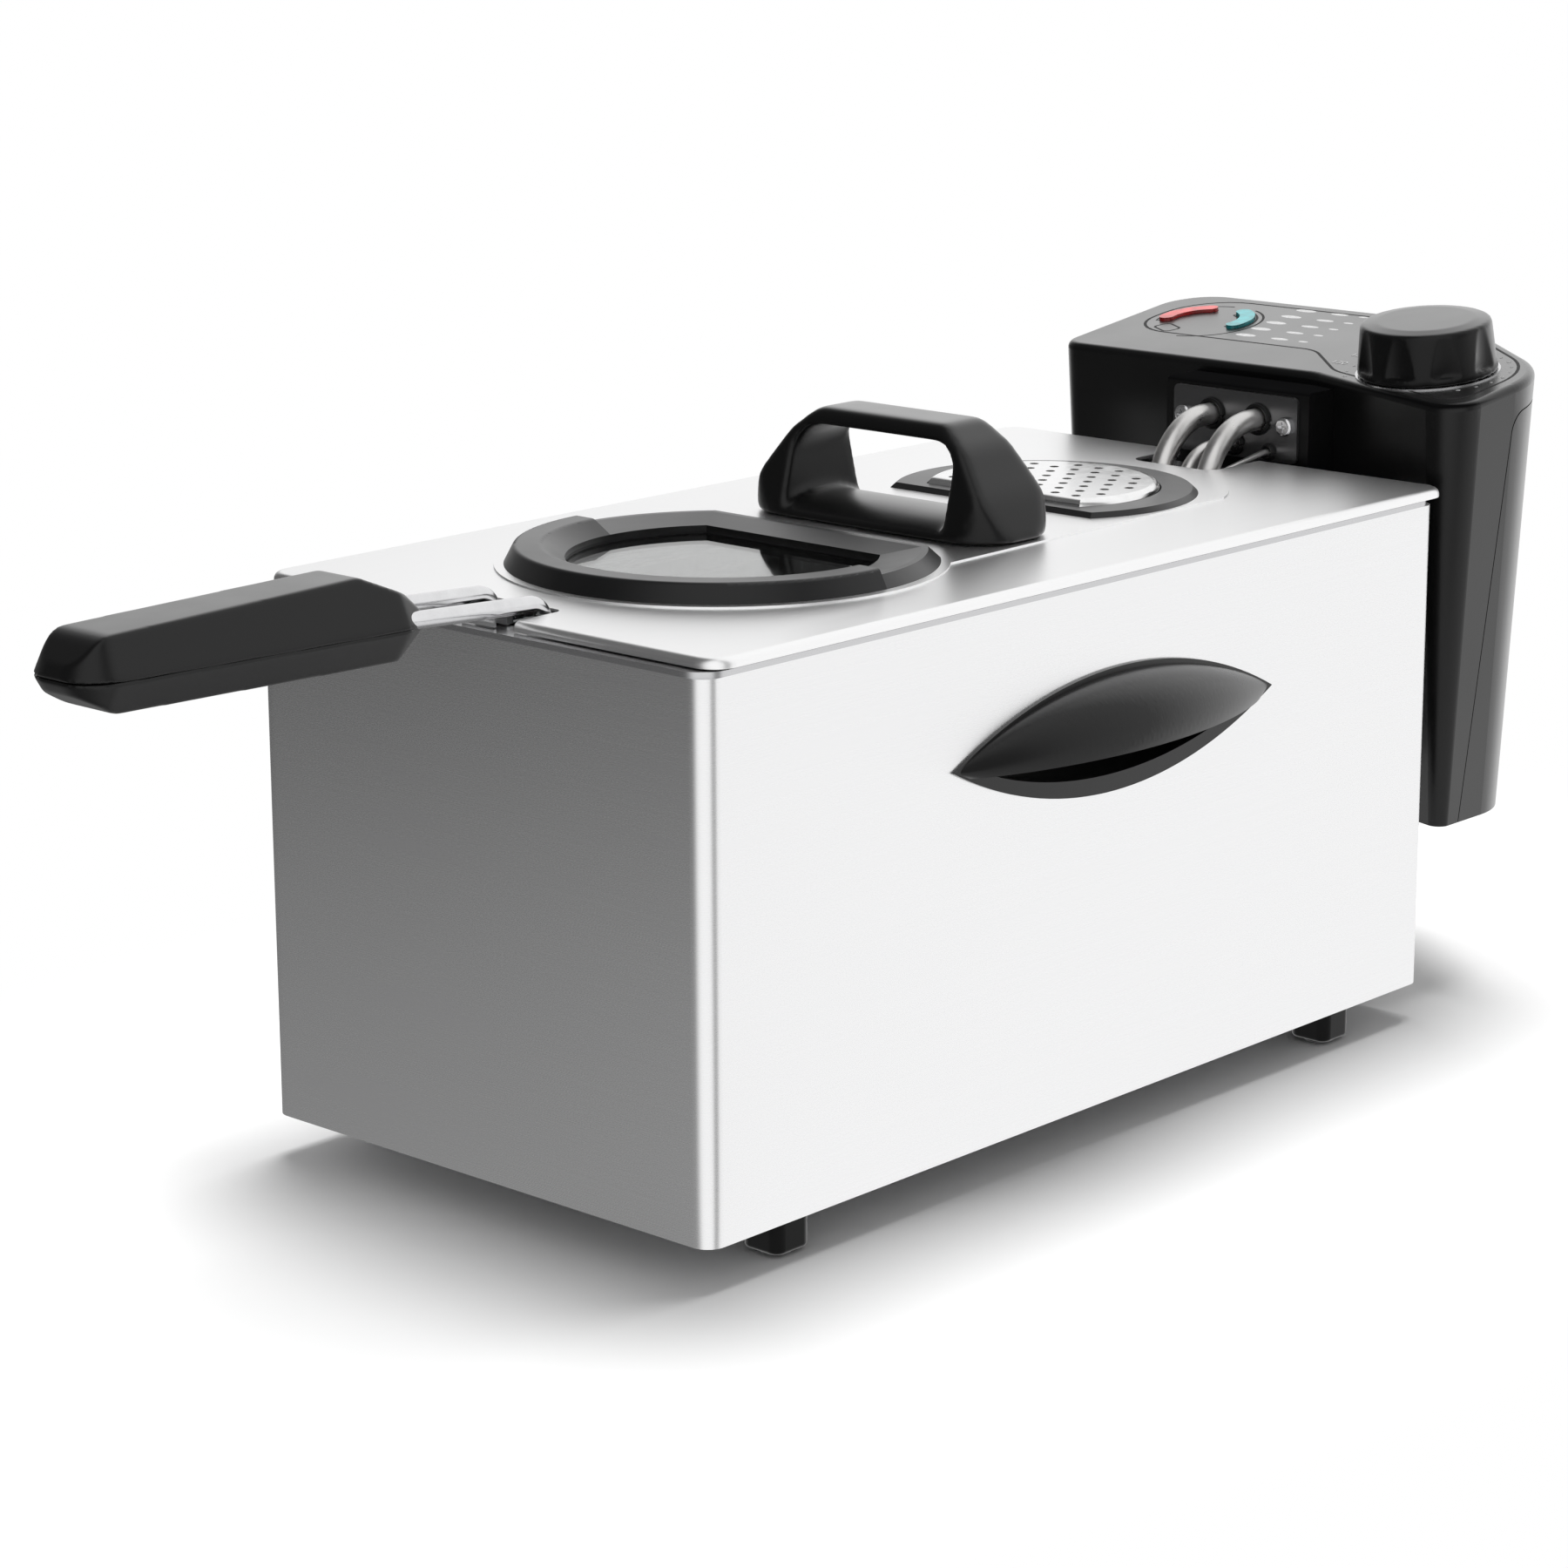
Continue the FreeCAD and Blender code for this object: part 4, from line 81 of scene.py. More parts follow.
# Blank marks: across, half width and half depth of each column; height of the first row and step between rows
OVAL_COLUMNS = ((-0.033, 0.0042, 0.0016), (-0.0185, 0.0036, 0.0012), (-0.0085, 0.0020, 0.0008))
OVAL_ROWS, OVAL_FIRST, OVAL_STEP = 5, 0.0335, 0.009
OVAL_RISE = 0.00005
# Dial: numbers and dots round the knob, with their ends in degrees
NUMBER_REACH, NUMBER_START, NUMBER_END = 0.0345, 183, 132
NUMBER_SIZE, NUMBER_RISE = 0.0042, 0.00004
TEMPERATURES = (130, 150, 170, 190)
DOT_REACH, DOT_START, DOT_END, DOT_STEPS = 0.0275, 215, -35, 18
DOT_RADIUS, MAIN_DOT_RADIUS, DOT_RISE = 0.00055, 0.0008, 0.00006
# Tubes at the element plate: across, height and radius
TUBE_SPOTS = (
    (-0.0095, 0.190, 0.0037), (0.0095, 0.190, 0.0037), (0.0, 0.181, 0.0025), (0.0144, 0.1795, 0.0012),
)
COLLAR_THICK = 0.0009
COLLAR_LEAD = 0.0004

# What polished faces see: heading, outer and inner half angle in degrees, and the level of the strip
DARK_SIDE = (-150, 75, 38)
DARK_STRIP = (4, 17, 9)
STRIP_LEVEL = 0.3
# Distances on the floor, from the housing's near corner, between which the dark side deepens
DARK_NEAR, DARK_FAR = 0.1, 0.9
# Floor: its radius, and the oval field in which shadows show
FLOOR_RADIUS = 14.0
SHADOW_SQUEEZE = (1.5, 0.85, 0.0)
SHADOW_NEAR, SHADOW_FAR = 0.20, 0.44
# Point that the key light is aimed at
AIM = Vector((0.0, 0.0, 0.1))
WHITE = (1.0, 1.0, 1.0, 1.0)

# How far faces turn from the viewer, from 0 to 1, where the plastics' sheen and coat start and are full
SHEEN_TURN = (0.35, 0.8)
COAT_TURN = (0.5, 0.75)


# Properties

def colour_property(name, description, default):
    """Colour that a user may change."""
    return FloatVectorProperty(name=name, description=description, default=default,
                               subtype="COLOR", size=3, min=0.0, max=1.0)


def length_property(name, description, default):
    """Length in metres that a user may change."""
    return FloatProperty(name=name, description=description, default=default, unit="LENGTH", precision=4)


def share_property(name, description, default):
    """Share from 0 to 1 that a user may change."""
    return FloatProperty(name=name, description=description, default=default,
                         subtype="FACTOR", min=0.0, max=1.0)


def place_property(name, description, default):
    """Place in metres that a user may change."""
    return FloatVectorProperty(name=name, description=description, default=default,
                               subtype="TRANSLATION", unit="LENGTH", size=3)


class FryerSteel(bpy.types.PropertyGroup):
    """Sheet steel and wire finishes."""

    body: colour_property("Housing", "Colour of the brushed housing sheet", (0.90, 0.90, 0.905))
    lid: colour_property("Lid", "Colour of the satin lid sheet", (0.96, 0.96, 0.962))
    tank: colour_property("Tank", "Colour of the drawn oil tank", (0.62, 0.62, 0.63))
    wire: colour_property("Wire", "Colour of the basket and handle wires", (0.78, 0.78, 0.79))
    plate: colour_property("Plate", "Colour of the element plate", (0.17, 0.17, 0.173))
    element: colour_property("Element", "Colour of the heated tubes", (0.75, 0.74, 0.73))
    body_roughness: share_property("Housing roughness", "Roughness across the brushing", 0.27)
    lid_roughness: share_property("Lid roughness", "Roughness of the satin lid", 0.34)
    brush_pitch: length_property("Brush pitch", "Distance between brush lines on the housing", 0.00028)


class FryerPlastic(bpy.types.PropertyGroup):
    """Moulded plastics, rubber and felt."""

    black: colour_property("Black", "Colour of the black mouldings", (0.004, 0.004, 0.0042))
    grey: colour_property("Dark grey", "Colour of the rings in the lid", (0.010, 0.010, 0.0105))
    pale: colour_property("Pale", "Colour of the inner mouldings", (0.55, 0.53, 0.48))
    rubber: colour_property("Rubber", "Colour of the pads and the gasket", (0.015, 0.015, 0.016))
    felt: colour_property("Felt", "Colour of the filter pad", (0.30, 0.29, 0.27))
    red: colour_property("Red lamp", "Colour of the red lens", (0.72, 0.03, 0.03))
    green: colour_property("Green lamp", "Colour of the green lens", (0.02, 0.42, 0.45))
    mark: colour_property("Marks", "Colour of the printed marks", (0.62, 0.62, 0.62))
    grain: length_property("Grain", "Size of the moulded grain", 0.0006)
    roughness: share_property("Roughness", "Roughness of the grip and the feet", 0.36)


class FryerBasket(bpy.types.PropertyGroup):
    """Wire work of the basket."""

    pitch: length_property("Mesh pitch", "Distance between mesh wires", 0.0062)
    wire: length_property("Mesh wire", "Diameter of a mesh wire", 0.0011)


class FryerStage(bpy.types.PropertyGroup):
    """Camera, floor and light."""

    eye: place_property("Camera", "Place of the camera", (0.8462, -0.9462, 0.4248))
    turn: FloatVectorProperty(name="Camera turn", description="Turn of the camera",
                              default=tuple(math.radians(a) for a in (75.692, 0.2105, 42.441)),
                              size=3, subtype="EULER")
    lens: FloatProperty(name="Lens", description="Focal length in millimetres", default=97.89, min=10.0)
    floor: colour_property("Floor", "Colour of the floor", (0.93, 0.93, 0.93))
    sky: FloatProperty(name="Sky", description="Level of the even light", default=0.38, min=0.0)
    key: FloatProperty(name="Key", description="Power of the key light", default=42.0, min=0.0, unit="POWER")
    key_place: place_property("Key place", "Place of the key light", (-0.2, 0.55, 2.0))
    key_size: length_property("Key size", "Width of the key light", 1.4)
    dark: share_property("Dark side", "Level that polished faces see far off at the front left", 0.11)
    near_dark: share_property("Near dark side", "The same level close to the fryer", 0.26)
    lift: share_property("Floor lift", "Added to the floor's own light for the camera only", 0.24)
    # Within this reach of the housing the lift is held back, which leaves a painted shade on the floor
    lift_reach: length_property("Lift reach", "Distance from the housing at which the lift is full", 0.08)


SETTINGS = {"fryer_steel": FryerSteel, "fryer_plastic": FryerPlastic, "fryer_basket": FryerBasket,
            "fryer_stage": FryerStage}


# Shader building

def new_material(name):
    """Node material with its tree and its shader."""
    material = bpy.data.materials.new(name)
    material.use_nodes = True
    tree = material.node_tree
    return material, tree, tree.nodes["Principled BSDF"]


def feed(tree, node, inputs):
    """Gives inputs of a node their constant or the output that drives them."""
    for key, value in inputs.items():
        if isinstance(value, bpy.types.NodeSocket):
            tree.links.new(value, node.inputs[key])
        else:
            node.inputs[key].default_value = value


def put(tree, kind, inputs=None, **choices):
    """New shader node with its choices and inputs."""
    node = tree.nodes.new(kind)
    for key, value in choices.items():
        setattr(node, key, value)
    feed(tree, node, inputs or {})
    return node


def reckon(tree, operation, first, second):
    """One number from two."""
    return put(tree, "ShaderNodeMath", {0: first, 1: second}, operation=operation).outputs[0]


def vector_step(tree, operation, first, second=(0.0, 0.0, 0.0), result="Vector"):
    """One vector or number from one or two vectors."""
    node = put(tree, "ShaderNodeVectorMath", {0: first, 1: second}, operation=operation)
    return node.outputs[result]


def between(tree, share, low, high):
    """Number that runs from low to high with a share."""
    # By number, because the node's inputs for other kinds of data have the same names
    return put(tree, "ShaderNodeMix", {0: share, 2: low, 3: high}, data_type="FLOAT").outputs[0]


def ranged(tree, source, low, high, start=0.3, end=0.7, curve="LINEAR"):
    """Maps a number from the range start to end to the range low to high."""
    inputs = {"Value": source, "From Min": start, "From Max": end, "To Min": low, "To Max": high}
    return put(tree, "ShaderNodeMapRange", inputs, interpolation_type=curve).outputs["Result"]


def spread(tree, scale, detail=4.0, rough=0.55, stretch=(1.0, 1.0, 1.0)):
    """Noise over the piece's own coordinates; stretch makes it run along one way."""
    place = put(tree, "ShaderNodeTexCoord").outputs["Object"]
    mapping = put(tree, "ShaderNodeMapping", {"Vector": place, "Scale": stretch})
    inputs = {"Vector": mapping.outputs["Vector"], "Scale": scale, "Detail": detail, "Roughness": rough}
    return put(tree, "ShaderNodeTexNoise", inputs).outputs["Fac"]


def tinted(tree, source, dark, light, start=0.3, end=0.7):
    """Colour that runs from dark to light with a noise value."""
    node = put(tree, "ShaderNodeValToRGB", {"Fac": source})
    for stop, position, colour in zip(node.color_ramp.elements, (start, end), (dark, light)):
        stop.position = position
        stop.color = (*colour, 1.0)
    return node.outputs["Color"]


def raised(tree, shader, source, depth, strength):
    """Bump of a given depth from a noise value."""
    bump = put(tree, "ShaderNodeBump", {"Height": source, "Distance": depth, "Strength": strength})
    feed(tree, shader, {"Normal": bump.outputs["Normal"]})


def shade(colour, factor):
    """Colour scaled in brightness."""
    return tuple(min(1.0, part * factor) for part in colour)


# Finishes

def brushed(name, colour, roughness, pitch, along="XY", anisotropic=0.6):
    """Sheet metal with fine brush lines along some axes, and faint clouds."""
    material, tree, shader = new_material(name)
    line_scale, line_share, cloud_share = 5.0, 0.7, 0.3
    stretch = tuple(line_scale if axis in along else 1.0 / pitch for axis in "XYZ")
    lines = spread(tree, scale=1.0, detail=3.0, rough=0.6, stretch=stretch)
    clouds = reckon(tree, "MULTIPLY", spread(tree, scale=9.0, detail=2.0, rough=0.5), cloud_share)
    wear = put(tree, "ShaderNodeMath", {0: lines, 1: line_share, 2: clouds}, operation="MULTIPLY_ADD")
    tangent = put(tree, "ShaderNodeTangent", direction_type="RADIAL", axis="Z")
    feed(tree, shader, {
        "Metallic": 1.0,
        "Anisotropic": anisotropic,
        "Base Color": tinted(tree, lines, shade(colour, 0.99), shade(colour, 1.007)),
        "Roughness": ranged(tree, wear.outputs[0], roughness * 0.95, roughness * 1.05),
        "Tangent": tangent.outputs[0],
    })
    raised(tree, shader, lines, depth=0.00002, strength=0.03)
    return material


def polished(name, colour, roughness):
    """Bright drawn metal with faint scuffs."""
    material, tree, shader = new_material(name)
    scuffs = spread(tree, scale=160.0, detail=5.0, rough=0.65)
    feed(tree, shader, {
        "Metallic": 1.0,
        "Base Color": tinted(tree, scuffs, shade(colour, 0.9), colour),
        "Roughness": ranged(tree, scuffs, roughness * 0.7, roughness * 1.4),
    })
    raised(tree, shader, scuffs, depth=0.00003, strength=0.15)
    return material


def moulded(name, colour, roughness, grain, depth=0.00005, gloss=1.0, coat=0.0):
    """Moulded plastic with fine grain, slightly uneven gloss and a bright sheen on faces seen along them."""
    material, tree, shader = new_material(name)
    along = put(tree, "ShaderNodeLayerWeight").outputs["Facing"]
    wide = spread(tree, scale=35.0, detail=3.0, rough=0.55)
    feed(tree, shader, {
        "IOR": 1.7,
        "Base Color": tinted(tree, wide, shade(colour, 0.85), shade(colour, 1.15)),
        "Roughness": ranged(tree, wide, roughness * 0.9, roughness * 1.1),
        "Specular IOR Level": ranged(tree, along, gloss * 0.2, gloss, *SHEEN_TURN),
        "Coat Weight": ranged(tree, along, 0.0, coat, *COAT_TURN),
        "Coat Roughness": roughness,
    })
    raised(tree, shader, spread(tree, scale=1.0 / grain, detail=2.0, rough=0.5), depth, strength=0.3)
    return material


def lens(name, colour):
    """Coloured lamp lens, deeper in places where the bulb's seat shows through."""
    material, tree, shader = new_material(name)
    seat = spread(tree, scale=260.0, detail=2.0, rough=0.5)
    feed(tree, shader, {
        "Base Color": tinted(tree, seat, shade(colour, 0.6), colour, 0.35, 0.65),
        "Roughness": 0.1,
        "Coat Weight": 0.3,
    })
    raised(tree, shader, seat, depth=0.0001, strength=0.15)
    return material


def glass(name):
    """Clear toughened glass with a trace of haze."""
    material, tree, shader = new_material(name)
    haze = spread(tree, scale=25.0, detail=3.0, rough=0.6)
    feed(tree, shader, {
        "Base Color": (0.93, 0.96, 0.95, 1.0),
        "Transmission Weight": 1.0,
        "IOR": 1.5,
        "Roughness": ranged(tree, haze, 0.0, 0.06),
    })
    return material


def felted(name, colour):
    """Matted fibre of the filter pad."""
    material, tree, shader = new_material(name)
    fibres = spread(tree, scale=700.0, detail=6.0, rough=0.75)
    feed(tree, shader, {
        "Base Color": tinted(tree, fibres, shade(colour, 0.5), shade(colour, 1.3)),
        "Roughness": 0.95,
        "Sheen Weight": 0.3,
    })
    raised(tree, shader, fibres, depth=0.0006, strength=0.8)
    return material


def flat_print(name, colour):
    """Ink of the printed marks, a little worn; also the painted shade in the panel's grooves."""
    material, tree, shader = new_material(name)
    wear = spread(tree, scale=900.0, detail=3.0, rough=0.6)
    feed(tree, shader, {"Base Color": tinted(tree, wear, shade(colour, 0.75), colour), "Roughness": 0.6})
    return material


def dress(material, *names):
    """Gives CAD nodes a material."""
    for name in names:
        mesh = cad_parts[name].data
        mesh.materials.clear()
        mesh.materials.append(material)


def soften(obj, voxel, passes):
    """Rounds the edges of a moulded piece, with modifiers only."""
    even = obj.modifiers.new("even_mesh", "REMESH")
    even.mode = "VOXEL"
    even.voxel_size = voxel
    even.use_smooth_shade = True
    soft = obj.modifiers.new("soft_edges", "SMOOTH")
    soft.factor = 0.5
    soft.iterations = passes


# Mesh building

def piece_from(bm, name, material, body, sharp=math.radians(32.0)):
    """Finished piece from a bmesh, riding on a body; edges past the sharp angle stay crisp."""
    mesh = bpy.data.meshes.new(name)
    bm.normal_update()
    bm.to_mesh(mesh)
    bm.free()
    mesh.materials.append(material)
    obj = bpy.data.objects.new(name, mesh)
    bpy.context.scene.collection.objects.link(obj)
    for face in mesh.polygons:
        face.use_smooth = True
    mesh.set_sharp_from_angle(angle=sharp)
    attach(obj, body)
    return obj


def wire_along(bm, points, radius, sides=6, closed=False):
    """Round wire along a line of points."""
    count = len(points)
    turns = [math.tau * k / sides for k in range(sides)]
    nearly_upright = 1e-4
    rings = []
    for i, point in enumerate(points):
        before = points[i - 1] if i or closed else point
        after = points[(i + 1) % count] if i + 1 < count or closed else point
        heading = (after - before).normalized()
        side = heading.cross(Vector((0, 0, 1)))
        if side.length < nearly_upright:
            side = heading.cross(Vector((1, 0, 0)))
        side.normalize()
        up = side.cross(heading)
        rings.append([bm.verts.new(point + radius * (math.cos(a) * side + math.sin(a) * up)) for a in turns])
    for i in range(count if closed else count - 1):
        one, two = rings[i], rings[(i + 1) % count]
        for k in range(sides):
            bm.faces.new((one[k], one[(k + 1) % sides], two[(k + 1) % sides], two[k]))
    if not closed:
        bm.faces.new(rings[0][::-1])
        bm.faces.new(rings[-1])


def rounded_ring(low, high, corner, z, steps=6):
    """Points of a rounded rectangle in plan at one height."""
    middle = (low + high) / 2
    points = []
    corners = ((high.x, low.y, -90), (high.x, high.y, 0), (low.x, high.y, 90), (low.x, low.y, 180))
    for x, y, start in corners:
        centre = Vector((x - math.copysign(corner, x - middle.x), y - math.copysign(corner, y - middle.y), z))
        for k in range(steps + 1):
            angle = math.radians(start + 90 * k / steps)
            points.append(centre + corner * Vector((math.cos(angle), math.sin(angle), 0)))
    return points


def evenly(points, count):
    """Points at even distances round a closed line."""
    closed = points + points[:1]
    lengths = [(b - a).length for a, b in zip(closed, closed[1:])]
    step = sum(lengths) / count
    found, i, passed = [], 0, 0.0
    for k in range(count):
        while i < len(lengths) - 1 and passed + lengths[i] < k * step:
            passed += lengths[i]
            i += 1
        share = (k * step - passed) / lengths[i] if lengths[i] else 0.0
        found.append(closed[i].lerp(closed[i + 1], share))
    return found


def on_panel(u, v, w=0.0):
    """Point on the tilted panel: u to the right, v up the slope, w off its face."""
    return Vector((u, PANEL_FRONT + v * math.cos(PANEL_TILT) - w * math.sin(PANEL_TILT),
                   PANEL_Z + v * math.sin(PANEL_TILT) + w * math.cos(PANEL_TILT)))


def panel_matrix(u, v, w):
    """Placement on the panel."""
    return Matrix.Translation(on_panel(u, v, w)) @ Matrix.Rotation(PANEL_TILT, 4, "X")


def arc_points(centre, reach, start, end, steps):
    """Points of an arc on the panel; start and end are in degrees."""
    turns = [math.radians(start + (end - start) * k / steps) for k in range(steps + 1)]
    return [centre + reach * Vector((math.cos(a), math.sin(a))) for a in turns]


def rounded_outline(corners, steps=8):
    """Closed outline on the panel; every corner is (u, v, round)."""
    points = []
    for k, (u, v, radius) in enumerate(corners):
        here = Vector((u, v))
        back = (Vector(corners[k - 1][:2]) - here).normalized()
        ahead = (Vector(corners[(k + 1) % len(corners)][:2]) - here).normalized()
        half = back.angle(ahead) / 2
        centre = here + (back + ahead).normalized() * radius / math.sin(half)
        start = here + back * radius / math.tan(half) - centre
        end = here + ahead * radius / math.tan(half) - centre
        first, swing = math.atan2(start.y, start.x), math.atan2(start.cross(end), start.dot(end))
        for i in range(steps + 1):
            angle = first + swing * i / steps
            points.append(centre + radius * Vector((math.cos(angle), math.sin(angle))))
    return points


def ribbon(bm, points, width, rise, closed=True):
    """Low ridge of three sides along a line on the panel."""
    count = len(points)
    rows = []
    for i, here in enumerate(points):
        back = points[i - 1] if closed or i else here
        ahead = points[(i + 1) % count] if closed or i + 1 < count else here
        way = (ahead - back).normalized()
        side = Vector((-way.y, way.x)) * width / 2
        section = ((-1, 0.0), (0, rise), (1, 0.0))
        rows.append([bm.verts.new(on_panel(*(here + k * side), w)) for k, w in section])
    for one, two in zip(rows, rows[1:] + (rows[:1] if closed else [])):
        for k in range(3):
            bm.faces.new((one[k], two[k], two[(k + 1) % 3], one[(k + 1) % 3]))
    if not closed:
        bm.faces.new(rows[0])
        bm.faces.new(rows[-1][::-1])


# Operators

class FryerOperator:
    """What the fryer's operators share."""

    bl_options = {"REGISTER", "UNDO"}


class FRYER_OT_housing(FryerOperator, bpy.types.Operator):
    """Brushed housing, base plate, feet, side grips and the guide at the back"""

    bl_idname = "fryer.housing"
    bl_label = "Housing"

    def execute(self, context):
        steel, plastic = context.scene.fryer_steel, context.scene.fryer_plastic
        sheet = brushed("brushed_housing", steel.body, steel.body_roughness, steel.brush_pitch)
        dress(sheet, "housing_shell")
        dress(brushed("satin_sheet", steel.tank, roughness=0.3, pitch=0.0006), "base_plate", "guide_channel")
        dress(polished("bright_fixings", steel.wire, roughness=0.22), "guide_rivets", "foot_screws")
        dress(moulded("black_moulding", plastic.black, plastic.roughness, plastic.grain, gloss=0.3),
              "foot_front_left", "foot_front_right", "foot_rear_left", "foot_rear_right")
        dress(moulded("grip_moulding", plastic.black, roughness=0.3, grain=plastic.grain, gloss=0.9),
              "side_grip_left", "side_grip_right")
        dress(moulded("pad_rubber", plastic.rubber, roughness=0.75, grain=plastic.grain), "foot_pads")
        return {"FINISHED"}


class FRYER_OT_tank(FryerOperator, bpy.types.Operator):
    """Drawn oil tank with its bright rim"""

    bl_idname = "fryer.tank"
    bl_label = "Oil tank"

    def execute(self, context):
        steel = context.scene.fryer_steel
        dress(brushed("drawn_tank", steel.tank, roughness=0.26, pitch=0.0008, anisotropic=0.3), "oil_tank")
        return {"FINISHED"}


class FRYER_OT_basket(FryerOperator, bpy.types.Operator):
    """Wire basket with its rim, bracket, handle wires and grip"""

    bl_idname = "fryer.basket"
    bl_label = "Basket"

    def execute(self, context):
        steel, plastic = context.scene.fryer_steel, context.scene.fryer_plastic
        wire = polished("basket_wire", steel.wire, roughness=0.18)
        dress(wire, "basket_rim", "basket_bracket", "handle_wires")
        grip = moulded("handle_moulding", plastic.black, plastic.roughness, plastic.grain, coat=0.5)
        self.grip_half("grip_top", "grip_upper", grip, draw_out=(0.0, 0.006, -0.002))
        self.grip_half("grip_bottom", "grip_lower", grip, draw_out=(0.0, 0.004, 0.001))
        self.wall(wire, context.scene.fryer_basket)
        self.floor(wire, context.scene.fryer_basket)
        return {"FINISHED"}

    def grip_half(self, name, source, material, draw_out):
        """Outer shell of one half of the grip, drawn out at the rear so that it closes round the wires."""
        rear_strip = 0.002
        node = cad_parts[source]
        points = [node.matrix_world @ vertex.co for vertex in node.data.vertices]
        rear = max(point.y for point in points) - rear_strip
        points += [point + Vector(draw_out) for point in points if point.y > rear]
        bm = bmesh.new()
        for point in points:
            bm.verts.new(point)
        hull = bmesh.ops.convex_hull(bm, input=bm.verts)
        spare = {v for v in hull["geom_interior"] + hull["geom_unused"] if isinstance(v, bmesh.types.BMVert)}
        bmesh.ops.delete(bm, geom=list(spare), context="VERTS")
        shell = piece_from(bm, name, material, "basket")
        soften(shell, voxel=0.0007, passes=8)
        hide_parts(source)

    def wall(self, wire, basket):
        """Upright and level mesh wires of the wall."""
        low, high = (Vector(c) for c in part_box("basket_wall"))
        lean, corner, radius = 0.005, 0.016, basket.wire / 2
        count = int(2 * ((high.x - low.x) + (high.y - low.y)) / basket.pitch)

        def ring(share, inset):
            """Outline of the wall at a share of its height."""
            inwards = lean * (1 - share) + inset
            step = Vector((inwards, inwards, 0))
            return rounded_ring(low + step, high - step, corner, low.z + share * (high.z - low.z))

        bm = bmesh.new()
        for ends in zip(evenly(ring(0.0, radius), count), evenly(ring(1.0, radius), count)):
            wire_along(bm, ends, radius)
        levels = round((high.z - low.z) / basket.pitch)
        for k in range(levels + 1):
            wire_along(bm, ring(k / levels, 2 * radius), radius, closed=True)
        wall = piece_from(bm, "basket_mesh_wall", wire, "basket")
        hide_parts("basket_wall")

    def floor(self, wire, basket):
        """Crossed mesh wires of the floor, in two layers, and the wire round its edge."""
        low, high = (Vector(c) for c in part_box("basket_floor"))
        radius, corner = basket.wire / 2, 0.014
        middle, half = (low + high) / 2, (high - low) / 2

        def shortened(offset, axis):
            """How much a wire is cut back to end on the rounded edge."""
            over = abs(offset - middle[axis]) - (half[axis] - corner)
            return corner - math.sqrt(max(corner * corner - over * over, 0.0)) if over > 0 else 0.0

        bm = bmesh.new()
        for axis, layer in ((0, -radius), (1, radius)):
            other = 1 - axis
            lines = int(2 * half[axis] / basket.pitch)
            for k in range(1, lines):
                across = low[axis] + 2 * half[axis] * k / lines
                cut = shortened(across, axis) + radius
                ends = []
                for edge in (low[other] + cut, high[other] - cut):
                    spot = Vector((0, 0, middle.z + layer))
                    spot[axis], spot[other] = across, edge
                    ends.append(spot)
                wire_along(bm, ends, radius)
        edge = Vector((radius, radius, 0))
        wire_along(bm, rounded_ring(low + edge, high - edge, corner, middle.z), radius, closed=True)
        floor = piece_from(bm, "basket_mesh_floor", wire, "basket")
        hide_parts("basket_floor")


class FRYER_OT_lid(FryerOperator, bpy.types.Operator):
    """Satin lid with its window, steam filter and arched handle"""

    bl_idname = "fryer.lid"
    bl_label = "Lid"

    def execute(self, context):
        steel, plastic = context.scene.fryer_steel, context.scene.fryer_plastic
        sheet = brushed("satin_lid", steel.lid, steel.lid_roughness, pitch=0.0005, along="Y", anisotropic=0.2)
        dress(sheet, "lid_shell")
        dress(moulded("window_moulding", plastic.grey, roughness=0.36, grain=plastic.grain),
              "window_frame", "filter_ring", "window_retainer", "filter_tray")
        dress(moulded("gasket_rubber", plastic.rubber, roughness=0.7, grain=plastic.grain), "window_gasket")
        dress(glass("window_pane"), "window_glass")
        dress(polished("pressed_grille", steel.lid, roughness=0.2), "filter_grille")
        dress(felted("filter_fibre", plastic.felt), "filter_pad")
        dress(moulded("lid_handle_moulding", plastic.black, roughness=0.34, grain=plastic.grain, coat=0.8),
              "lid_handle")
        soften(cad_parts["lid_handle"], voxel=0.0008, passes=44)
        dress(polished("lid_screws", steel.wire, roughness=0.22), "lid_handle_screws")
        return {"FINISHED"}


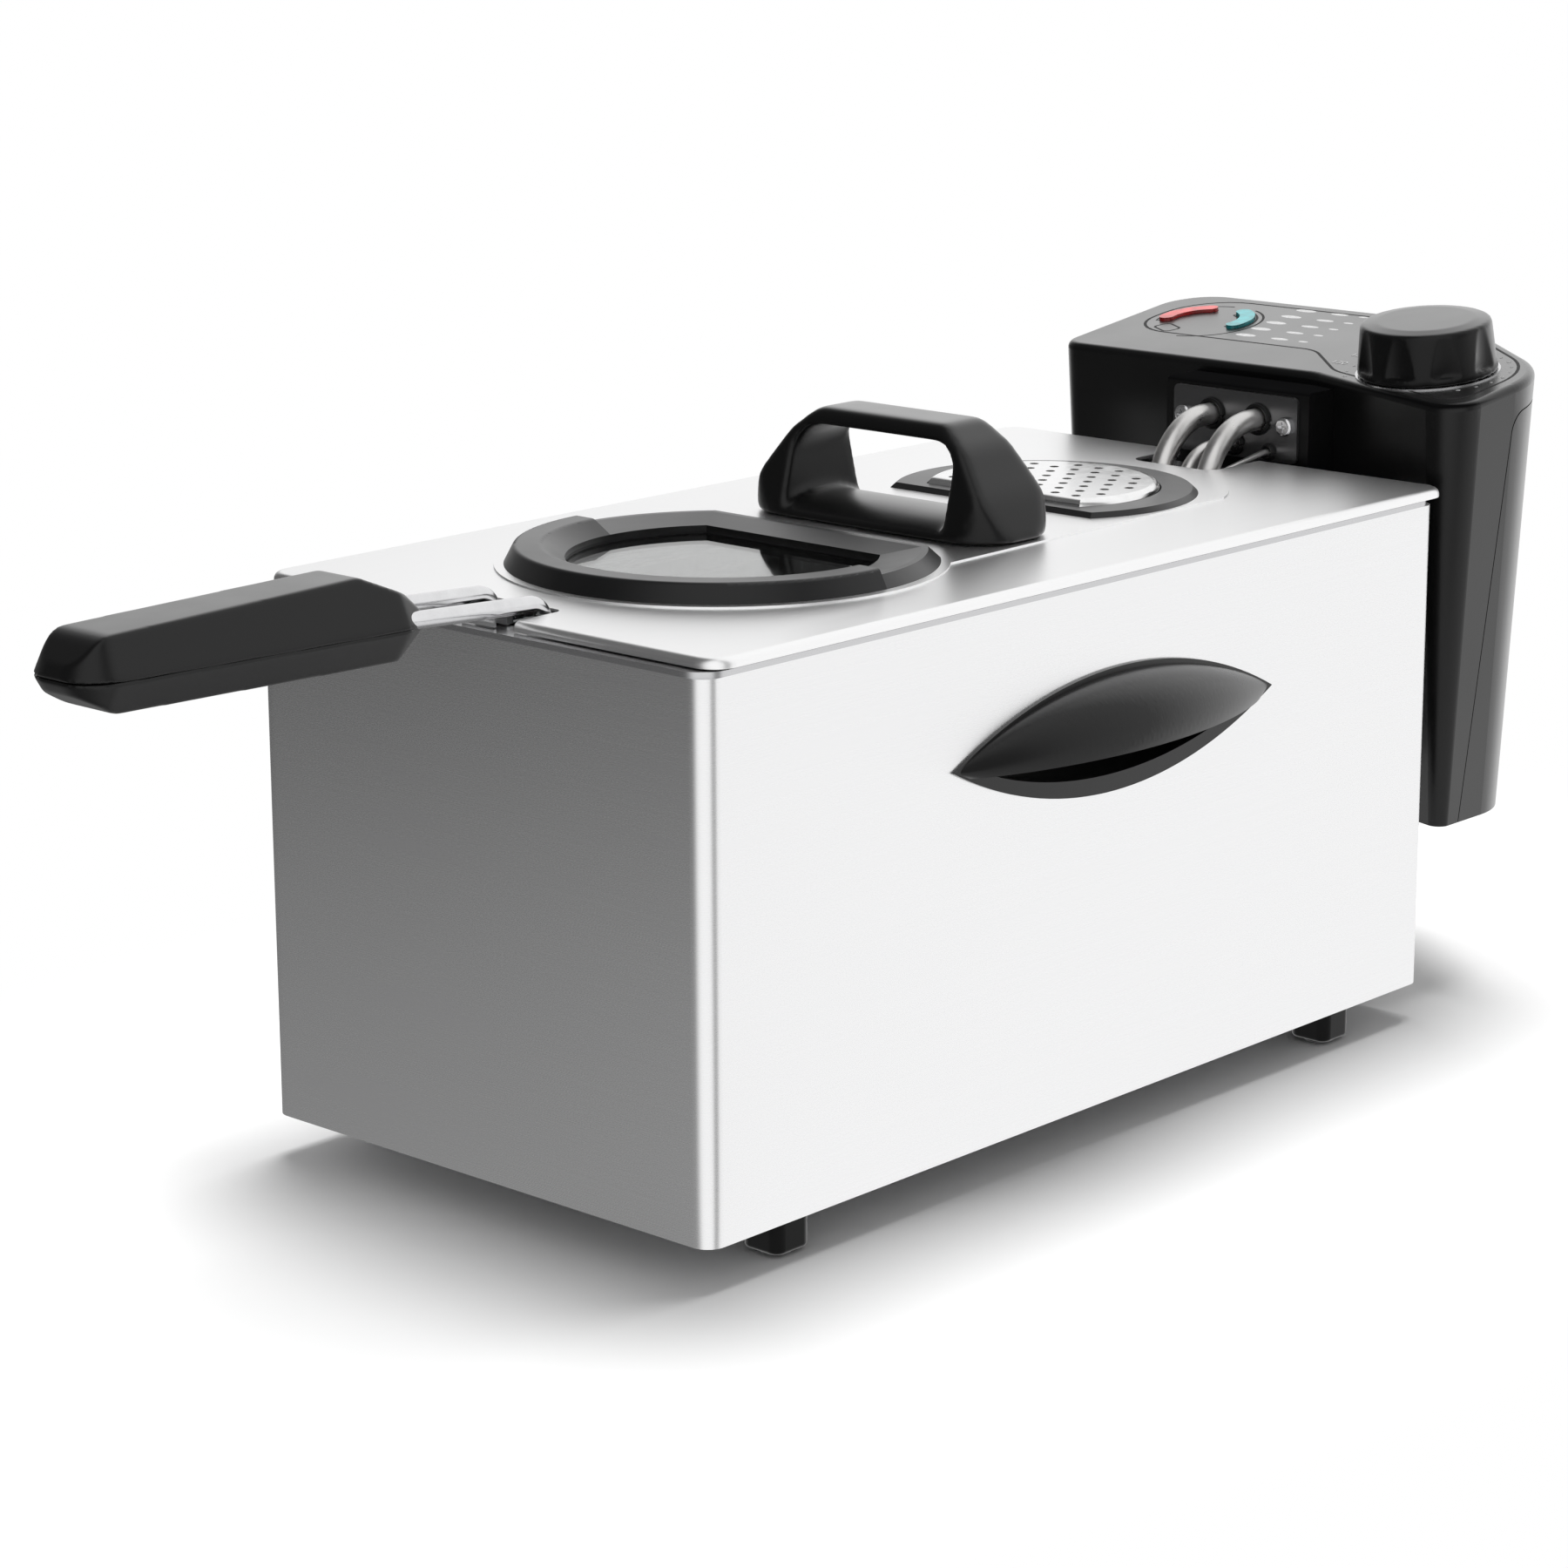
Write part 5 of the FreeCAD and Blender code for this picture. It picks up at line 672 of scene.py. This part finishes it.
class FRYER_OT_control(FryerOperator, bpy.types.Operator):
    """Control box, rear cover, insert, lamps and what the box holds"""

    bl_idname = "fryer.control"
    bl_label = "Control unit"

    def execute(self, context):
        steel, plastic = context.scene.fryer_steel, context.scene.fryer_plastic
        grain = plastic.grain
        box = moulded("control_moulding", plastic.black, roughness=0.32, grain=grain, coat=0.8)
        # Painted shade on the box's level faces under the panel
        self.dull_ledge(box)
        dress(box, "control_housing", "rear_cover", "cord_gland")
        self.collars(moulded("collar_moulding", plastic.black, roughness=0.5, grain=grain))
        dress(moulded("insert_moulding", plastic.black, roughness=0.3, grain=grain, depth=0.00004, coat=0.8),
              "panel_insert")
        dress(lens("red_lens", plastic.red), "lamp_red")
        dress(lens("green_lens", plastic.green), "lamp_green")
        dress(moulded("knob_moulding", plastic.black, roughness=0.33, grain=grain, gloss=0.8, coat=0.8),
              "control_knob")
        soften(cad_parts["control_knob"], voxel=0.0005, passes=6)
        dress(moulded("reset_moulding", plastic.red, roughness=0.4, grain=grain), "reset_button")
        dress(polished("knob_ring_metal", steel.wire, roughness=0.25), "knob_ring")
        dress(brushed("element_plate_sheet", steel.plate, roughness=0.3, pitch=0.0004), "element_plate")
        dress(polished("screw_metal", steel.wire, roughness=0.2), "element_screws", "cover_screws")
        dress(polished("element_tube", steel.element, roughness=0.34),
              "heating_element", "sensor_tube", "safety_capillary")
        dress(moulded("inner_moulding", plastic.pale, roughness=0.55, grain=grain),
              "thermostat", "lamp_bulbs", "safety_cutout", "interlock_switch", "terminal_block")
        return {"FINISHED"}

    def dull_ledge(self, material):
        """Painted shade: takes the shine off level faces under the panel, such as the ledge over the tubes,
        where the panel's shadow falls.
        """
        tree = material.node_tree
        shader = tree.nodes["Principled BSDF"]
        place = put(tree, "ShaderNodeTexCoord")
        height = put(tree, "ShaderNodeSeparateXYZ", {0: place.outputs["Object"]}).outputs["Z"]
        slope = put(tree, "ShaderNodeSeparateXYZ", {0: place.outputs["Normal"]}).outputs["Z"]
        level, steep = 0.6, 0.3
        # Painted shade: gloss and coat stay only above the panel's level or on steep faces
        above = ranged(tree, height, 0.0, 1.0, PANEL_Z - 0.002, PANEL_Z - 0.001)
        upright = ranged(tree, slope, 0.0, 1.0, level, steep)
        unshaded = reckon(tree, "MAXIMUM", above, upright)
        for name in ("Specular IOR Level", "Coat Weight"):
            shine = shader.inputs[name].links[0].from_socket
            feed(tree, shader, {name: reckon(tree, "MULTIPLY", unshaded, shine)})

    def collars(self, material):
        """Dark collars where the tubes go through the element plate."""
        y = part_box("element_plate")[0][1] - COLLAR_LEAD
        steps = 24
        turns = [math.tau * k / steps for k in range(steps)]
        bm = bmesh.new()
        for x, z, tube in TUBE_SPOTS:
            reach = tube + COLLAR_THICK
            ring = [Vector((x + reach * math.cos(a), y, z + reach * math.sin(a))) for a in turns]
            wire_along(bm, ring, COLLAR_THICK, sides=8, closed=True)
        piece_from(bm, "tube_collars", material, "control_unit")


class FRYER_OT_marks(FryerOperator, bpy.types.Operator):
    """Grooves, blank ovals, dial numbers and dots on the panel"""

    bl_idname = "fryer.marks"
    bl_label = "Panel marks"

    dial_u: length_property("Dial across", "Knob centre to the right", 0.054)
    dial_v: length_property("Dial up", "Knob centre up the panel", 0.017)

    def execute(self, context):
        plastic = context.scene.fryer_plastic
        ink = flat_print("panel_ink", plastic.mark)
        dial = Vector((self.dial_u, self.dial_v))
        self.grooves(flat_print("groove_shade", plastic.black))
        self.ovals(ink)
        self.numbers(ink, dial)
        self.dots(ink, dial)
        return {"FINISHED"}

    def grooves(self, dark):
        """Painted shade of the grooves: dark line round the insert, and the lines round the lamps and the
        small pad beside them.
        """
        bm = bmesh.new()
        ribbon(bm, rounded_outline(INSERT_CORNERS), INSERT_GROOVE, GROOVE_RISE)
        for start, end in LAMP_RING_ARCS:
            arc = arc_points(LAMP_CENTRE, LAMP_RING_REACH, start, end, steps=24)
            ribbon(bm, arc, LAMP_GROOVE, GROOVE_RISE, closed=False)
        for middle in LAMP_MIDDLES:
            start, end = middle - LAMP_SWEEP / 2, middle + LAMP_SWEEP / 2
            outer = arc_points(LAMP_CENTRE, LAMP_REACH + LAMP_HALF, start, end, steps=12)
            inner = arc_points(LAMP_CENTRE, LAMP_REACH - LAMP_HALF, end, start, steps=12)
            ribbon(bm, outer + inner, LAMP_GROOVE, GROOVE_RISE)
        u, v = LAMP_CENTRE + PAD_OFFSET
        pad = [(u + across, v + up, PAD_ROUND) for across, up in PAD_CORNERS]
        ribbon(bm, rounded_outline(pad), LAMP_GROOVE, GROOVE_RISE)
        piece_from(bm, "panel_grooves", dark, "control_unit")

    def ovals(self, ink):
        """Three columns of blank marks between the lamps and the dial."""
        bm = bmesh.new()
        for u, width, depth in OVAL_COLUMNS:
            size = Matrix.Diagonal((width, depth, OVAL_RISE, 1.0))
            for k in range(OVAL_ROWS):
                spot = panel_matrix(u, OVAL_FIRST + OVAL_STEP * k, 0.0)
                bmesh.ops.create_uvsphere(bm, u_segments=24, v_segments=8, radius=1.0, matrix=spot @ size)
        piece_from(bm, "panel_ovals", ink, "control_unit")

    def numbers(self, ink, dial):
        """Plain temperatures at the left of the dial."""
        bm = bmesh.new()
        spots = arc_points(dial, NUMBER_REACH, NUMBER_START, NUMBER_END, len(TEMPERATURES) - 1)
        for temperature, spot in zip(TEMPERATURES, spots):
            curve = bpy.data.curves.new("number", "FONT")
            curve.body = str(temperature)
            curve.size = NUMBER_SIZE
            curve.extrude = NUMBER_RISE
            curve.align_x = curve.align_y = "CENTER"
            holder = bpy.data.objects.new("number", curve)
            mesh = bpy.data.meshes.new_from_object(holder)
            mesh.transform(panel_matrix(*spot, NUMBER_RISE))
            bm.from_mesh(mesh)
            bpy.data.meshes.remove(mesh)
            bpy.data.objects.remove(holder)
            bpy.data.curves.remove(curve)
        piece_from(bm, "dial_numbers", ink, "control_unit")

    def dots(self, ink, dial):
        """Ring of dots round the knob, every third one larger."""
        bm = bmesh.new()
        for k, spot in enumerate(arc_points(dial, DOT_REACH, DOT_START, DOT_END, DOT_STEPS)):
            radius = DOT_RADIUS if k % 3 else MAIN_DOT_RADIUS
            made = bmesh.ops.create_circle(bm, cap_ends=True, segments=12, radius=radius,
                                           matrix=panel_matrix(*spot, DOT_RISE))
            bmesh.ops.extrude_face_region(bm, geom=list(made["verts"][0].link_faces))
        piece_from(bm, "dial_dots", ink, "control_unit")


class FRYER_OT_stage(FryerOperator, bpy.types.Operator):
    """Floor, soft light and the camera at the photograph's angle"""

    bl_idname = "fryer.stage"
    bl_label = "Stage"

    def execute(self, context):
        scene, stage = context.scene, context.scene.fryer_stage
        self.floor(scene, stage)
        self.sky(scene, stage)
        self.key(scene, stage)
        self.camera(scene, stage)
        scene.view_settings.view_transform = "Standard"
        return {"FINISHED"}

    def camera(self, scene, stage):
        """Camera of the scene."""
        data = bpy.data.cameras.new("camera")
        data.lens = stage.lens
        data.sensor_width = 36.0
        data.clip_end = 100.0
        obj = bpy.data.objects.new("camera", data)
        obj.location = stage.eye
        obj.rotation_euler = Euler(stage.turn, "XYZ")
        scene.collection.objects.link(obj)
        scene.camera = obj

    def key(self, scene, stage):
        """Large soft lamp aimed at the fryer, which polished faces don't see."""
        data = bpy.data.lights.new("key_light", "AREA")
        data.energy = stage.key
        data.shape = "DISK"
        data.size = stage.key_size
        obj = bpy.data.objects.new("key_light", data)
        obj.location = stage.key_place
        obj.rotation_euler = (AIM - Vector(stage.key_place)).to_track_quat("-Z", "Y").to_euler()
        obj.visible_glossy = False
        scene.collection.objects.link(obj)

    def rays(self, tree):
        """The camera's rays, those off polished faces only, and either of them or those through glass."""
        path = put(tree, "ShaderNodeLightPath").outputs
        no_dull_face = reckon(tree, "LESS_THAN", path["Diffuse Depth"], 0.5)
        glossy = reckon(tree, "MULTIPLY", path["Is Glossy Ray"], no_dull_face)
        seen = reckon(tree, "MAXIMUM", path["Is Camera Ray"], glossy)
        return path["Is Camera Ray"], glossy, reckon(tree, "MAXIMUM", seen, path["Is Transmission Ray"])

    def facing(self, tree, source, heading, outer, inner):
        """0 to 1 as a direction or place turns towards a heading in plan, between two angles off it."""
        heading, outer, inner = (math.radians(a) for a in (heading, outer, inner))
        flat = vector_step(tree, "MULTIPLY", source, (1.0, 1.0, 0.0))
        unit = vector_step(tree, "NORMALIZE", flat)
        towards = (math.cos(heading), math.sin(heading), 0.0)
        dot = vector_step(tree, "DOT_PRODUCT", unit, towards, result="Value")
        return ranged(tree, dot, 0.0, 1.0, math.cos(outer), math.cos(inner), "SMOOTHSTEP")

    def level(self, tree, glossy, source, dark):
        """White for the camera; for polished faces also a dark side at the left and a strip at the right."""
        side = between(tree, self.facing(tree, source, *DARK_SIDE), 1.0, dark)
        strip = ranged(tree, self.facing(tree, source, *DARK_STRIP), 1.0, STRIP_LEVEL, 0.0, 1.0)
        return between(tree, glossy, 1.0, reckon(tree, "MULTIPLY", side, strip))

    def floor(self, scene, stage):
        """Wide pale floor."""
        bm = bmesh.new()
        bmesh.ops.create_circle(bm, cap_ends=True, segments=96, radius=FLOOR_RADIUS)
        mesh = bpy.data.meshes.new("floor")
        bm.to_mesh(mesh)
        bm.free()
        mesh.materials.append(self.floor_paint(stage))
        obj = bpy.data.objects.new("floor", mesh)
        scene.collection.objects.link(obj)

    def floor_paint(self, stage):
        """Shows shadows near the fryer, together with a painted shade round the housing, and is plain white
        further off.
        """
        material, tree, shader = new_material("pale_floor")
        material.cycles.emission_sampling = "NONE"
        low, high = (Vector(corner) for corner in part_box("housing_shell"))
        place = put(tree, "ShaderNodeNewGeometry").outputs["Position"]
        camera, glossy, seen = self.rays(tree)
        # The camera-only lift is held back under and near the housing: a painted shade round it
        feed(tree, shader, {
            "Base Color": (*stage.floor, 1.0),
            "Roughness": 0.9,
            "Specular IOR Level": 0.0,
            "Emission Color": WHITE,
            "Emission Strength": reckon(tree, "MULTIPLY", camera, self.lift(tree, place, low, high, stage)),
        })
        oval = vector_step(tree, "MULTIPLY", place, SHADOW_SQUEEZE)
        far = vector_step(tree, "LENGTH", oval, result="Value")
        fade = ranged(tree, far, 0.0, 1.0, SHADOW_NEAR, SHADOW_FAR, "SMOOTHSTEP")
        share = reckon(tree, "MAXIMUM", reckon(tree, "MULTIPLY", fade, seen), glossy)
        from_corner = vector_step(tree, "SUBTRACT", place, (high.x, low.y, 0.0))
        away = vector_step(tree, "LENGTH", from_corner, result="Value")
        dark = ranged(tree, away, stage.near_dark, stage.dark, DARK_NEAR, DARK_FAR)
        glow = put(tree, "ShaderNodeEmission", {"Strength": self.level(tree, glossy, from_corner, dark)})
        mix = put(tree, "ShaderNodeMixShader", {0: share, 1: shader.outputs[0], 2: glow.outputs[0]})
        feed(tree, tree.nodes["Material Output"], {"Surface": mix.outputs[0]})
        return material

    def lift(self, tree, place, low, high, stage):
        """The floor's lift, from none under the housing to its full level at the lift's reach; held back near
        the housing, it leaves a painted shade there.
        """
        middle, half = (low + high) / 2, (high - low) / 2
        offset = vector_step(tree, "SUBTRACT", place, (middle.x, middle.y, 0.0))
        size = vector_step(tree, "ABSOLUTE", offset)
        past = vector_step(tree, "SUBTRACT", size, (half.x, half.y, 0.0))
        outside = vector_step(tree, "MAXIMUM", past)
        gap = vector_step(tree, "LENGTH", outside, result="Value")
        return ranged(tree, gap, 0.0, stage.lift, 0.0, stage.lift_reach, "SMOOTHSTEP")

    def sky(self, scene, stage):
        """Even light, with a white surround for the camera and a graded one for polished faces."""
        world = bpy.data.worlds.new("studio")
        scene.world = world
        world.use_nodes = True
        world.cycles.sampling_method = "NONE"
        tree = world.node_tree
        heading = put(tree, "ShaderNodeTexCoord").outputs["Generated"]
        _, glossy, seen = self.rays(tree)
        level = self.level(tree, glossy, heading, stage.dark)
        strength = between(tree, seen, stage.sky, level)
        feed(tree, tree.nodes["Background"], {"Color": WHITE, "Strength": strength})


OPERATORS = (FRYER_OT_housing, FRYER_OT_tank, FRYER_OT_basket, FRYER_OT_lid, FRYER_OT_control,
             FRYER_OT_marks, FRYER_OT_stage)


class FRYER_PT_panel(bpy.types.Panel):
    """Buttons and settings for every group of the fryer"""

    bl_idname = "FRYER_PT_panel"
    bl_label = "Deep fryer"
    bl_space_type = "VIEW_3D"
    bl_region_type = "UI"
    bl_category = "Fryer"

    def draw(self, context):
        for operator in OPERATORS:
            self.layout.operator(operator.bl_idname)
        for name, group in SETTINGS.items():
            box = self.layout.box()
            box.label(text=group.__doc__)
            for field in group.__annotations__:
                box.prop(getattr(context.scene, name), field)


def register():
    """Adds the property groups, operators and panel."""
    for name, group in SETTINGS.items():
        bpy.utils.register_class(group)
        setattr(bpy.types.Scene, name, PointerProperty(type=group))
    for operator in OPERATORS:
        bpy.utils.register_class(operator)
    bpy.utils.register_class(FRYER_PT_panel)


def unregister():
    """Takes them away again."""
    bpy.utils.unregister_class(FRYER_PT_panel)
    for operator in reversed(OPERATORS):
        bpy.utils.unregister_class(operator)
    for name, group in SETTINGS.items():
        delattr(bpy.types.Scene, name)
        bpy.utils.unregister_class(group)


def main():
    """Dresses the whole fryer."""
    register()
    for operator in OPERATORS:
        area, name = operator.bl_idname.split(".")
        getattr(getattr(bpy.ops, area), name)()


if __name__ == "__main__":
    main()
